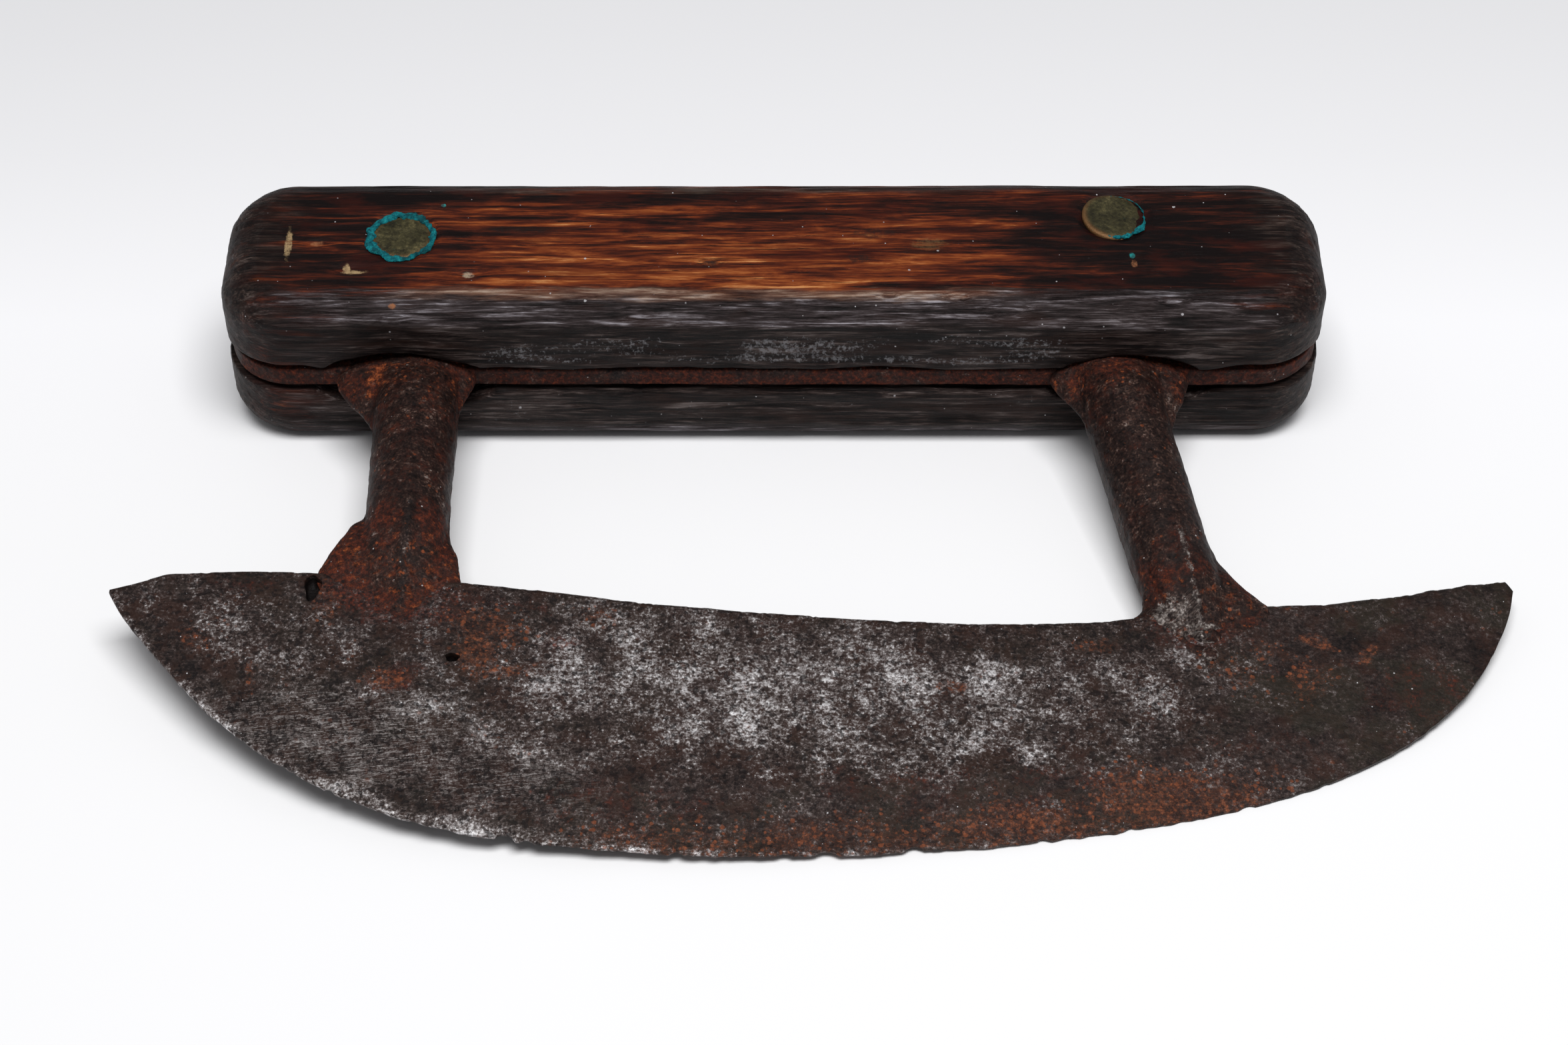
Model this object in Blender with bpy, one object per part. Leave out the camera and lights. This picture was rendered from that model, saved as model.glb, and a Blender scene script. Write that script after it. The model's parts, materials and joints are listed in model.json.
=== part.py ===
"""Two-post chopping knife: a crescent iron blade carried by two round posts under a riveted wooden handle.

The knife lies on its side on a table, as it is put down after use: the handle's lower scale and the
cutting edge touch the table. +X runs along the handle, +Y from the blade to the handle, +Z is up, and
the origin is on the table under the middle of the knife.

Two construction frames are used. In the handle frame u runs along the handle, v from the blade to the
handle and w through the handle's thickness, from its centre. The blade frame is the same one turned a
little about v, because the blade is twisted against the handle.
"""

import math

import bmesh
import bpy
import numpy as np
from mathutils import Matrix

MM = 0.001

# Clearance between pieces that touch on the real knife.
GAP = 0.3 * MM

# Handle: an iron bar between two wooden scales.
HANDLE_LENGTH = 163.0 * MM
HANDLE_WIDTH = 31.0 * MM
HANDLE_THICKNESS = 28.0 * MM
HANDLE_CORNER_RADIUS = 12.0 * MM
HANDLE_EDGE_ROUND = 7.0 * MM
SCALE_INNER_CHAMFER = 0.6 * MM
BAR_THICKNESS = 3.3 * MM
BAR_INSET = 0.5 * MM

# Blade: forged plate, thinned to the cutting edge, twisted against the handle.
BLADE_SPINE_THICKNESS = 2.2 * MM
BLADE_EDGE_THICKNESS = 0.6 * MM
BLADE_BEVEL_WIDTH = 11.0 * MM
BLADE_TWIST = math.radians(2.2)

# Posts: half-inch round iron, split at both ends to straddle the bar and the blade.
TWIST_START = -20.0 * MM
TWIST_END = -52.0 * MM

# Two-piece handle rivets and the small pins through the posts' feet.
RIVET_HEAD_RADIUS = 4.5 * MM
RIVET_HEAD_THICKNESS = 1.0 * MM
RIVET_SINK = 0.2 * MM
RIVET_SLEEVE_RADIUS = 2.6 * MM
RIVET_BORE_RADIUS = 1.9 * MM
RIVET_STUD_RADIUS = RIVET_BORE_RADIUS - GAP
RIVET_SEAT_CLEARANCE = 0.4 * MM
LIFTED_HEAD_TILT = math.radians(6.0)
LIFTED_HEAD_SINK = 0.4 * MM
LIFTED_SEAT_DEPTH = 1.0 * MM
FOOT_PIN_RADIUS = 1.2 * MM
FOOT_PIN_LENGTH = 4.6 * MM

ROUND_STEPS = 24
CORNER_STEPS = 6
EDGE_STEPS = 5
BLADE_COLUMNS = 56
POST_SECTION_STEPS = 12

# Positions in the handle frame (u, v).
LEFT_RIVET = (-54.8 * MM, 0.7 * MM)
RIGHT_RIVET = (50.6 * MM, 5.2 * MM)

# Positions in the blade frame (u, v).
LEFT_FOOT_PIN = (-51.5 * MM, -61.2 * MM)
RIGHT_FOOT_PIN = (59.9 * MM, -67.4 * MM)
WELD_VOID = (-63.4 * MM, -59.2 * MM)
WELD_VOID_RADII = (1.1 * MM, 2.4 * MM)
PIN_HOLE = (-43.3 * MM, -70.9 * MM)
PIN_HOLE_RADIUS = 0.7 * MM

# The blade's back, left tip to right tip, in the blade frame (u, v) in millimetres.
BLADE_BACK = [
    (-91.2, -59.8), (-83.8, -57.5), (-74.0, -56.4), (-62.0, -56.2), (-43.0, -57.5),
    (-14.7, -60.6), (22.0, -62.6), (46.0, -61.7), (60.0, -58.8), (71.5, -57.7),
    (83.2, -56.0), (94.0, -53.5), (103.2, -51.4),
]

# The cutting edge, left tip to right tip, in the same frame.
BLADE_EDGE = [
    (-91.2, -60.4), (-84.5, -70.2), (-75.0, -81.4), (-63.0, -91.0), (-48.0, -98.2),
    (-28.0, -101.9), (-8.0, -103.0), (15.0, -101.9), (38.0, -99.0), (58.0, -94.7),
    (75.0, -88.0), (88.0, -79.6), (97.5, -68.8), (102.2, -59.4), (103.9, -53.6),
]

# A post's sections from the handle down to its foot, in millimetres:
# (v, left u, right u, half thickness of the flat part, half width and half thickness of the round part).
LEFT_POST_SECTIONS = [
    (-9.0, -60.5, -44.5, 3.3, 6.0, 3.3),
    (-13.0, -62.5, -43.8, 3.4, 6.0, 3.4),
    (-15.5, -64.4, -43.6, 3.4, 6.2, 3.9),
    (-17.5, -63.9, -44.2, 3.1, 6.2, 4.8),
    (-20.0, -62.0, -45.2, 2.7, 6.1, 5.7),
    (-22.5, -60.0, -45.6, 2.3, 6.1, 6.1),
    (-26.0, -58.1, -45.7, 1.6, 6.1, 6.1),
    (-34.0, -57.7, -45.7, 1.2, 6.05, 6.05),
    (-43.0, -57.4, -45.6, 1.2, 6.0, 6.0),
    (-46.5, -57.8, -45.4, 2.2, 6.0, 5.8),
    (-49.5, -60.0, -45.0, 2.4, 6.0, 5.4),
    (-52.5, -61.6, -43.9, 2.5, 5.9, 4.8),
    (-55.5, -63.0, -43.3, 2.5, 5.7, 4.1),
    (-57.8, -62.3, -43.6, 2.4, 5.4, 3.4),
    (-60.5, -60.2, -44.8, 2.2, 4.8, 2.9),
    (-63.0, -58.0, -46.6, 2.1, 4.0, 2.5),
    (-65.2, -55.0, -49.0, 2.1, 3.0, 2.2),
]
LEFT_POST_AXIS = [(-9.0, -52.2), (-26.0, -51.8), (-65.2, -51.4)]

RIGHT_POST_SECTIONS = [
    (-9.0, 43.0, 58.5, 3.3, 6.0, 3.3),
    (-13.0, 41.4, 59.6, 3.4, 6.0, 3.4),
    (-15.5, 40.4, 61.1, 3.4, 6.2, 4.4),
    (-17.5, 41.4, 60.6, 3.1, 6.2, 5.2),
    (-20.0, 43.1, 59.9, 2.7, 6.2, 5.9),
    (-22.5, 44.5, 58.9, 2.3, 6.1, 6.1),
    (-26.0, 45.6, 58.0, 1.6, 6.1, 6.1),
    (-34.0, 47.2, 59.3, 1.2, 6.1, 6.1),
    (-43.0, 49.0, 60.9, 1.2, 6.05, 6.05),
    (-46.5, 49.6, 61.8, 2.2, 6.0, 5.9),
    (-49.5, 50.2, 62.7, 2.4, 6.0, 5.7),
    (-52.5, 50.9, 64.2, 2.5, 6.0, 5.3),
    (-55.5, 51.5, 66.6, 2.5, 5.9, 4.7),
    (-58.5, 51.8, 69.2, 2.4, 5.7, 4.0),
    (-61.5, 50.2, 69.4, 2.3, 5.4, 3.4),
    (-65.0, 51.6, 67.2, 2.2, 4.8, 2.9),
    (-68.0, 53.8, 65.2, 2.1, 4.0, 2.5),
    (-70.6, 57.0, 62.6, 2.1, 2.8, 2.2),
]
RIGHT_POST_AXIS = [(-9.0, 49.2), (-30.0, 52.4), (-50.0, 56.2), (-70.6, 59.8)]


def clear_scene():
    """Removes whatever the file holds."""
    for old in list(bpy.data.objects):
        bpy.data.objects.remove(old)


def make_material(name, colour, roughness, metallic):
    """A plain Principled material."""
    material = bpy.data.materials.new(name)
    material.use_nodes = True
    shader = material.node_tree.nodes["Principled BSDF"]
    shader.inputs["Base Color"].default_value = (*colour, 1.0)
    shader.inputs["Roughness"].default_value = roughness
    shader.inputs["Metallic"].default_value = metallic
    return material


def make_frame(name, parent=None):
    """An empty that carries the pieces parented to it."""
    empty = bpy.data.objects.new(name, None)
    bpy.context.scene.collection.objects.link(empty)
    empty.parent = parent
    return empty


def loft(name, rings, parent, material=None):
    """A closed solid through rings of equally many points, with its first and last ring capped."""
    mesh = bmesh.new()
    layers = [[mesh.verts.new(point) for point in ring] for ring in rings]
    count = len(layers[0])
    for lower, upper in zip(layers, layers[1:]):
        for i in range(count):
            j = (i + 1) % count
            mesh.faces.new((lower[i], lower[j], upper[j], upper[i]))
    mesh.faces.new(layers[0])
    mesh.faces.new(layers[-1])
    bmesh.ops.recalc_face_normals(mesh, faces=mesh.faces)
    data = bpy.data.meshes.new(name)
    mesh.to_mesh(data)
    mesh.free()
    data.shade_smooth()
    data.set_sharp_from_angle(angle=math.radians(35))
    solid = bpy.data.objects.new(name, data)
    bpy.context.scene.collection.objects.link(solid)
    solid.parent = parent
    if material:
        data.materials.append(material)
    return solid


def as_cutter(solid):
    """Marks a solid as a tool that only cuts others."""
    solid.hide_render = True
    solid.display_type = "WIRE"
    return solid


def cut(solid, *cutters):
    """Cuts each cutter out of the solid."""
    for cutter in cutters:
        modifier = solid.modifiers.new(f"cut {cutter.name}", "BOOLEAN")
        modifier.operation = "DIFFERENCE"
        modifier.solver = "EXACT"
        modifier.object = cutter


def spline_through(points, count):
    """`count` + 1 points on a smooth curve through the given ones, spaced evenly along their chords."""
    knots = np.array(points, float)
    steps = np.linalg.norm(np.diff(knots, axis=0), axis=1)
    along = np.concatenate([[0.0], np.cumsum(steps)])
    slopes = np.gradient(knots, along, axis=0)
    wanted = np.linspace(0.0, along[-1], count + 1)
    index = np.clip(np.searchsorted(along, wanted, side="right") - 1, 0, len(knots) - 2)
    width = (along[index + 1] - along[index])[:, None]
    t = ((wanted - along[index])[:, None]) / width
    start, end = knots[index], knots[index + 1]
    return (
        (2 * t**3 - 3 * t**2 + 1) * start
        + (t**3 - 2 * t**2 + t) * width * slopes[index]
        + (3 * t**2 - 2 * t**3) * end
        + (t**3 - t**2) * width * slopes[index + 1]
    )


def round_ring(centre, radius, height, tilt=0.0):
    """A circle about the w axis through centre, its left side lifted by the tilt."""
    u, v = centre
    ring = []
    for i in range(ROUND_STEPS):
        angle = 2 * math.pi * i / ROUND_STEPS
        across = radius * math.cos(angle)
        ring.append((u + across, v + radius * math.sin(angle), height - across * math.tan(tilt)))
    return ring


def rounded_rectangle(length, width, radius, height):
    """A ring with four round corners, centred on the w axis."""
    ring = []
    corners = [(1, 1, 0), (-1, 1, 90), (-1, -1, 180), (1, -1, 270)]
    for side_u, side_v, first_angle in corners:
        centre_u = side_u * (length / 2 - radius)
        centre_v = side_v * (width / 2 - radius)
        for i in range(CORNER_STEPS + 1):
            angle = math.radians(first_angle + 90 * i / CORNER_STEPS)
            ring.append((centre_u + radius * math.cos(angle), centre_v + radius * math.sin(angle), height))
    return ring


def handle_ring(inset, height):
    """The handle's outline seen along w, drawn in by an inset."""
    return rounded_rectangle(
        HANDLE_LENGTH - 2 * inset, HANDLE_WIDTH - 2 * inset, HANDLE_CORNER_RADIUS - inset, height
    )


def blade_half_thickness(depth_above_edge):
    """Half the plate's thickness at a distance from the cutting edge."""
    share = min(depth_above_edge / BLADE_BEVEL_WIDTH, 1.0)
    thin = BLADE_EDGE_THICKNESS / 2
    return thin + (BLADE_SPINE_THICKNESS / 2 - thin) * share


def blade_rings(grow=0.0):
    """Sections across the blade, left tip to right tip; grow makes it fatter all round, for a cutter."""
    back = spline_through(BLADE_BACK, BLADE_COLUMNS) * MM
    edge = spline_through(BLADE_EDGE, BLADE_COLUMNS) * MM
    back[:, 1] += grow
    rings = []
    for top, bottom in zip(back, edge):
        across = bottom - top
        depth = np.linalg.norm(across)
        bevel_start = max(1.0 - BLADE_BEVEL_WIDTH / depth, 0.2)
        front, rear = [], []
        for station in (0.0, bevel_start, (1.0 + bevel_start) / 2, 1.0):
            u, v = top + across * station
            half = blade_half_thickness(depth * (1 - station)) + grow
            front.append((u, v, half))
            rear.append((u, v, -half))
        rings.append(front + rear[::-1])
    return rings


def make_blade(frame, material):
    return loft("blade", blade_rings(), frame, material)


def twist_at(v):
    """How far the blade's twist has built up at v, between the handle and the blade."""
    share = min(max((v - TWIST_START) / (TWIST_END - TWIST_START), 0.0), 1.0)
    return BLADE_TWIST * share * share * (3 - 2 * share)


def post_rings(sections, axis, grow=0.0):
    """Sections of a post: a round bar that melts into flat fans at both ends."""
    axis_v, axis_u = np.array(axis)[::-1].T
    rings = []
    for row in sections:
        v = row[0]
        left, right, flat, half_width, half_round = (x * MM for x in row[1:])
        centre = np.interp(v, axis_v, axis_u) * MM
        turn = twist_at(v * MM)
        middle, reach = (left + right) / 2, (right - left) / 2 + grow
        top = []
        for i in range(POST_SECTION_STEPS + 1):
            across = -math.cos(math.pi * i / POST_SECTION_STEPS)
            u = middle + reach * across
            plate = flat * (1 - abs(across) ** 6) ** 0.5
            offset = (u - centre) / (half_width + grow)
            bar = half_round * max(1 - offset * offset, 0.0) ** 0.5
            top.append((u, max(plate, bar, 0.25 * MM) + grow))
        outline = top + [(u, -w) for u, w in top[::-1]]
        rings.append(
            [
                (u * math.cos(turn) + w * math.sin(turn), v * MM, w * math.cos(turn) - u * math.sin(turn))
                for u, w in outline
            ]
        )
    if grow:
        rings[0] = [(u, v + grow, w) for u, v, w in rings[0]]
    return rings


def make_post(name, sections, axis, frame, material, blade_cutter, bar_cutter, pin_cutter):
    """A post, slit at its top for the bar and at its foot for the blade, with the foot's pin hole."""
    post = loft(name, post_rings(sections, axis), frame, material)
    cut(post, bar_cutter, blade_cutter, pin_cutter)
    return post


def make_bar(frame, material, bores):
    """The flat iron bar between the scales."""
    half = BAR_THICKNESS / 2
    bar = loft("handle_bar", [handle_ring(BAR_INSET, -half), handle_ring(BAR_INSET, half)], frame, material)
    cut(bar, *bores)
    return bar


def make_bar_cutter(frame):
    """The bar's slot in the posts."""
    half = BAR_THICKNESS / 2 + GAP
    inset = BAR_INSET - GAP
    return as_cutter(loft("bar_slot", [handle_ring(inset, -half), handle_ring(inset, half)], frame))


def make_scale(name, side, frame, material, cutters):
    """One wooden scale: flat inside, its outer edge rounded; side is +1 above the bar and -1 below."""
    inner = BAR_THICKNESS / 2 + GAP
    outer = HANDLE_THICKNESS / 2
    profile = [(SCALE_INNER_CHAMFER, inner), (0.0, inner + SCALE_INNER_CHAMFER)]
    for i in range(EDGE_STEPS + 1):
        angle = math.radians(90 * i / EDGE_STEPS)
        inset = HANDLE_EDGE_ROUND * (1 - math.cos(angle))
        profile.append((inset, outer - HANDLE_EDGE_ROUND * (1 - math.sin(angle))))
    rings = [handle_ring(inset, side * height) for inset, height in profile]
    scale = loft(name, rings, frame, material)
    cut(scale, *cutters)
    return scale


def rivet_seat_depth(lifted):
    """How deep the head's seat goes below a scale's outer face."""
    return RIVET_SINK + RIVET_HEAD_THICKNESS + GAP + (LIFTED_SEAT_DEPTH if lifted else 0.0)


def make_rivet_bore(name, centre, frame, lifted):
    """The hole for a rivet through both scales and the bar, with a seat for each head."""
    outer = HANDLE_THICKNESS / 2
    beyond = outer + 2 * MM
    seat = RIVET_HEAD_RADIUS + RIVET_SEAT_CLEARANCE
    hole = RIVET_SLEEVE_RADIUS + GAP
    upper_seat = outer - rivet_seat_depth(lifted)
    lower_seat = outer - rivet_seat_depth(False)
    profile = [(seat, -beyond), (seat, -lower_seat), (hole, -lower_seat), (hole, upper_seat)]
    profile += [(seat, upper_seat), (seat, beyond)]
    rings = [round_ring(centre, radius, height) for radius, height in profile]
    return as_cutter(loft(name, rings, frame))


def make_rivet(side_name, centre, frame, material, lifted=False):
    """A two-piece rivet: the stud's head shows above, the sleeve's head below."""
    outer = HANDLE_THICKNESS / 2
    tilt = LIFTED_HEAD_TILT if lifted else 0.0
    head_top = outer - RIVET_SINK - (LIFTED_HEAD_SINK if lifted else 0.0)
    head_under = head_top - RIVET_HEAD_THICKNESS
    soft = 0.25 * MM
    stud_end = -outer + RIVET_SINK + RIVET_HEAD_THICKNESS + 3.0 * MM
    stud_profile = [
        (RIVET_HEAD_RADIUS - soft, head_top, tilt),
        (RIVET_HEAD_RADIUS, head_top - soft, tilt),
        (RIVET_HEAD_RADIUS, head_under, tilt),
        (RIVET_STUD_RADIUS, head_under, tilt),
        (RIVET_STUD_RADIUS, head_under - LIFTED_SEAT_DEPTH, 0.0),
        (RIVET_STUD_RADIUS, stud_end, 0.0),
    ]
    stud_rings = [round_ring(centre, radius, height, lean) for radius, height, lean in stud_profile]
    stud = loft(f"{side_name}_rivet_stud", stud_rings, frame, material)
    sleeve_end = outer - rivet_seat_depth(lifted) - GAP
    head_bottom = -outer + RIVET_SINK
    sleeve_profile = [
        (RIVET_HEAD_RADIUS - soft, head_bottom),
        (RIVET_HEAD_RADIUS, head_bottom + soft),
        (RIVET_HEAD_RADIUS, head_bottom + RIVET_HEAD_THICKNESS),
        (RIVET_SLEEVE_RADIUS, head_bottom + RIVET_HEAD_THICKNESS),
        (RIVET_SLEEVE_RADIUS, sleeve_end),
        (RIVET_BORE_RADIUS, sleeve_end),
        (RIVET_BORE_RADIUS, stud_end - 1.0 * MM),
    ]
    sleeve_rings = [round_ring(centre, radius, height) for radius, height in sleeve_profile]
    sleeve = loft(f"{side_name}_rivet_sleeve", sleeve_rings, frame, material)
    return stud, sleeve


def make_foot_pin(name, centre, frame, material):
    """A small iron pin through a post's split foot and the blade, its ends hammered a little round."""
    half = FOOT_PIN_LENGTH / 2
    soft = 0.3 * MM
    profile = [
        (FOOT_PIN_RADIUS - soft, -half),
        (FOOT_PIN_RADIUS, -half + soft),
        (FOOT_PIN_RADIUS, half - soft),
        (FOOT_PIN_RADIUS - soft, half),
    ]
    return loft(name, [round_ring(centre, radius, height) for radius, height in profile], frame, material)


def make_hole_cutter(name, centre, radii, frame):
    """A round or oval hole through the blade."""
    depth = 8.0 * MM
    rings = []
    for height in (-depth, depth):
        ring = round_ring((0.0, 0.0), 1.0, height)
        rings.append([(centre[0] + u * radii[0], centre[1] + v * radii[1], w) for u, v, w in ring])
    return as_cutter(loft(name, rings, frame))


def world_points(solid):
    """The finished solid's vertices, in world space."""
    graph = bpy.context.evaluated_depsgraph_get()
    finished = solid.evaluated_get(graph)
    data = finished.to_mesh()
    points = np.array([finished.matrix_world @ vertex.co for vertex in data.vertices])
    finished.to_mesh_clear()
    return points


def lay_on_table(handle_frame, pieces, blade, lower_scale):
    """Leans the knife until both the handle and the cutting edge touch the table, and centres it there."""
    bpy.context.view_layer.update()
    blade_points, scale_points = world_points(blade), world_points(lower_scale)

    def height_difference(lean):
        turn = np.array([0.0, math.sin(lean), math.cos(lean)])
        return (blade_points @ turn).min() - (scale_points @ turn).min()

    low, high = 0.0, math.radians(30)
    for _ in range(60):
        lean = (low + high) / 2
        if height_difference(lean) > 0:
            low = lean
        else:
            high = lean
    handle_frame.rotation_euler = (lean, 0.0, 0.0)
    bpy.context.view_layer.update()
    points = np.concatenate([world_points(piece) for piece in pieces])
    lowest, highest = points.min(axis=0), points.max(axis=0)
    handle_frame.location = (
        -(lowest[0] + highest[0]) / 2,
        -(lowest[1] + highest[1]) / 2,
        -lowest[2],
    )


def build():
    clear_scene()
    wood = make_material("old_wood", (0.10, 0.045, 0.025), 0.5, 0.0)
    rusty_iron = make_material("rusty_iron", (0.13, 0.07, 0.05), 0.6, 0.6)
    worn_iron = make_material("worn_iron", (0.20, 0.18, 0.17), 0.45, 0.8)
    brass = make_material("tarnished_brass", (0.20, 0.17, 0.09), 0.45, 0.8)

    handle_frame = make_frame("handle_frame")
    blade_frame = make_frame("blade_frame", handle_frame)
    blade_frame.rotation_euler = (0.0, BLADE_TWIST, 0.0)

    left_bore = make_rivet_bore("left_rivet_bore", LEFT_RIVET, handle_frame, lifted=False)
    right_bore = make_rivet_bore("right_rivet_bore", RIGHT_RIVET, handle_frame, lifted=True)
    bar_cutter = make_bar_cutter(handle_frame)
    blade_cutter = as_cutter(loft("blade_slot", blade_rings(GAP), blade_frame))
    pin_radii = (FOOT_PIN_RADIUS + GAP, FOOT_PIN_RADIUS + GAP)
    left_pin_cutter = make_hole_cutter("left_pin_bore", LEFT_FOOT_PIN, pin_radii, blade_frame)
    right_pin_cutter = make_hole_cutter("right_pin_bore", RIGHT_FOOT_PIN, pin_radii, blade_frame)
    void_cutter = make_hole_cutter("weld_void", WELD_VOID, WELD_VOID_RADII, blade_frame)
    small_radii = (PIN_HOLE_RADIUS, PIN_HOLE_RADIUS)
    hole_cutter = make_hole_cutter("small_hole", PIN_HOLE, small_radii, blade_frame)
    pockets = [
        as_cutter(loft("left_pocket", post_rings(LEFT_POST_SECTIONS, LEFT_POST_AXIS, GAP), handle_frame)),
        as_cutter(loft("right_pocket", post_rings(RIGHT_POST_SECTIONS, RIGHT_POST_AXIS, GAP), handle_frame)),
    ]

    blade = make_blade(blade_frame, worn_iron)
    cut(blade, left_pin_cutter, right_pin_cutter, void_cutter, hole_cutter)
    left_post = make_post(
        "left_post", LEFT_POST_SECTIONS, LEFT_POST_AXIS,
        handle_frame, rusty_iron, blade_cutter, bar_cutter, left_pin_cutter,
    )
    right_post = make_post(
        "right_post", RIGHT_POST_SECTIONS, RIGHT_POST_AXIS,
        handle_frame, rusty_iron, blade_cutter, bar_cutter, right_pin_cutter,
    )
    bar = make_bar(handle_frame, rusty_iron, [left_bore, right_bore])
    scale_cutters = [*pockets, left_bore, right_bore]
    upper_scale = make_scale("upper_scale", 1, handle_frame, wood, scale_cutters)
    lower_scale = make_scale("lower_scale", -1, handle_frame, wood, scale_cutters)
    left_rivet = make_rivet("left", LEFT_RIVET, handle_frame, brass)
    right_rivet = make_rivet("right", RIGHT_RIVET, handle_frame, brass, lifted=True)
    left_pin = make_foot_pin("left_foot_pin", LEFT_FOOT_PIN, blade_frame, rusty_iron)
    right_pin = make_foot_pin("right_foot_pin", RIGHT_FOOT_PIN, blade_frame, rusty_iron)

    pieces = [blade, left_post, right_post, bar, upper_scale, lower_scale, left_pin, right_pin]
    pieces += [*left_rivet, *right_rivet]
    lay_on_table(handle_frame, pieces, blade, lower_scale)


build()
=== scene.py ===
"""The look of an old two-post chopping knife: pitted blade, rusty posts, worn wooden handle, brass rivets.

Pieces are modelled in the handle frame (u along the handle, v from the blade to the handle, w through the
thickness, from the handle's centre) or in the blade frame, which is that frame turned a little about v.
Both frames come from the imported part. Materials read the place in that frame from a vertex attribute.
"""

import json
import math
from itertools import product

import bmesh
import bpy
import numpy as np
from mathutils import Matrix, Vector

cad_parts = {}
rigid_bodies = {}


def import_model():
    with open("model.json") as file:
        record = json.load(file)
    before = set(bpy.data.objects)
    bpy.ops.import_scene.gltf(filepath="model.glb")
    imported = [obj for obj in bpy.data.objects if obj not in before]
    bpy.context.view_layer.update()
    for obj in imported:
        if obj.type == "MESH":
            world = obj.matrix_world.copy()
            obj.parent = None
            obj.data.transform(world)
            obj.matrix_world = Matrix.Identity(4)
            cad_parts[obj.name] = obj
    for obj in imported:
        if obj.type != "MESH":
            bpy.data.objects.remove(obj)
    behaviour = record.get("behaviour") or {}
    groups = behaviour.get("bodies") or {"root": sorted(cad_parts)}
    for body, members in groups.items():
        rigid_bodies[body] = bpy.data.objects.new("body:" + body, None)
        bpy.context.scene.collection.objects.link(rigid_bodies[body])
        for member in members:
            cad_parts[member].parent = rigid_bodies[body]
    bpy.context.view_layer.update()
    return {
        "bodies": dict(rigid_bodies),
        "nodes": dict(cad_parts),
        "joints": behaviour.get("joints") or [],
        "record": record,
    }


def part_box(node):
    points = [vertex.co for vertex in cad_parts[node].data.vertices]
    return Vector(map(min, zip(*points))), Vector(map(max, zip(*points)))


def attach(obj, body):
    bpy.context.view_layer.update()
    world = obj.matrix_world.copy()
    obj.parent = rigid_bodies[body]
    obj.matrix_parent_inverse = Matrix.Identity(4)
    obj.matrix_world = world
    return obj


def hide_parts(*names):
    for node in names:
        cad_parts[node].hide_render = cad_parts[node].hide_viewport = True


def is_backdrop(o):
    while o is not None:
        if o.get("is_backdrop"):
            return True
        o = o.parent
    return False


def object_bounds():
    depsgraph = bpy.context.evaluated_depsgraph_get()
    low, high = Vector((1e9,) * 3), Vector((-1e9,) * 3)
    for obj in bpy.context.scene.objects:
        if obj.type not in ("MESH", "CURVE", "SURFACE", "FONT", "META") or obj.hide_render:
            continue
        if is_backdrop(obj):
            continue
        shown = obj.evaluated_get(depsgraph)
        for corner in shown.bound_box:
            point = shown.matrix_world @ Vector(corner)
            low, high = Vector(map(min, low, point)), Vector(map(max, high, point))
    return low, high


MM = 0.001
# The power that deepens every colour, to make up for what a surface's sheen adds to dark tones.
DEPTH = 1.1
TABLE_CLEARANCE = 0.02 * MM
WELD_DISTANCE = 0.002 * MM

# Camera and studio.
CAMERA_PITCH = math.radians(39.7)
CAMERA_DISTANCE = 486.0 * MM
CAMERA_TARGET = (1.55 * MM, -32.4 * MM)
CAMERA_LENS = 76.53
SENSOR_WIDTH = 36.0
FLOOR_HALF_SIZE = 3.0
# Beyond the photographed part the floor glows a little, so that it stays pale out to the horizon.
FAR_FLOOR = (240.0, 900.0)
FAR_FLOOR_GLOW = 0.7
WORLD_COLOUR = (0.98, 0.98, 1.0, 1.0)
WORLD_STRENGTH = 0.22
SOFTBOX_PLACE = (0.05, -0.34, 0.97)
SOFTBOX_AIM = (0.0, -0.02, 0.0)
SOFTBOX_SIZE = (0.65, 0.45)
SOFTBOX_POWER = 10.9

# The blade's twist against the handle, and where along the posts it builds up.
BLADE_TWIST = math.radians(2.2)
TWIST_START = -20.0
TWIST_END = -52.0

# Handle, in millimetres.
BAR_THICKNESS = 3.3
BAR_INSET = 0.6
HANDLE_CORNER_RADIUS = 10.5
HANDLE_EDGE_ROUND = 5.5
UPPER_GAP = 0.35
LOWER_GAP = 0.55
# How many steps the handle's outline takes along its sides and across its ends.
SIDE_STEPS = 300
END_STEPS = 14
# The worn bevel along the handle's long edges: how far it reaches over the face, and down the wall.
BEVEL_REACH = 4.6
BEVEL_DROP = 3.0
# The painted channel over_edge holds 0 to 1 for this many millimetres, from inside the face outwards.
EDGE_SPAN = 16.0
EDGE_LEAD = 2.0

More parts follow.
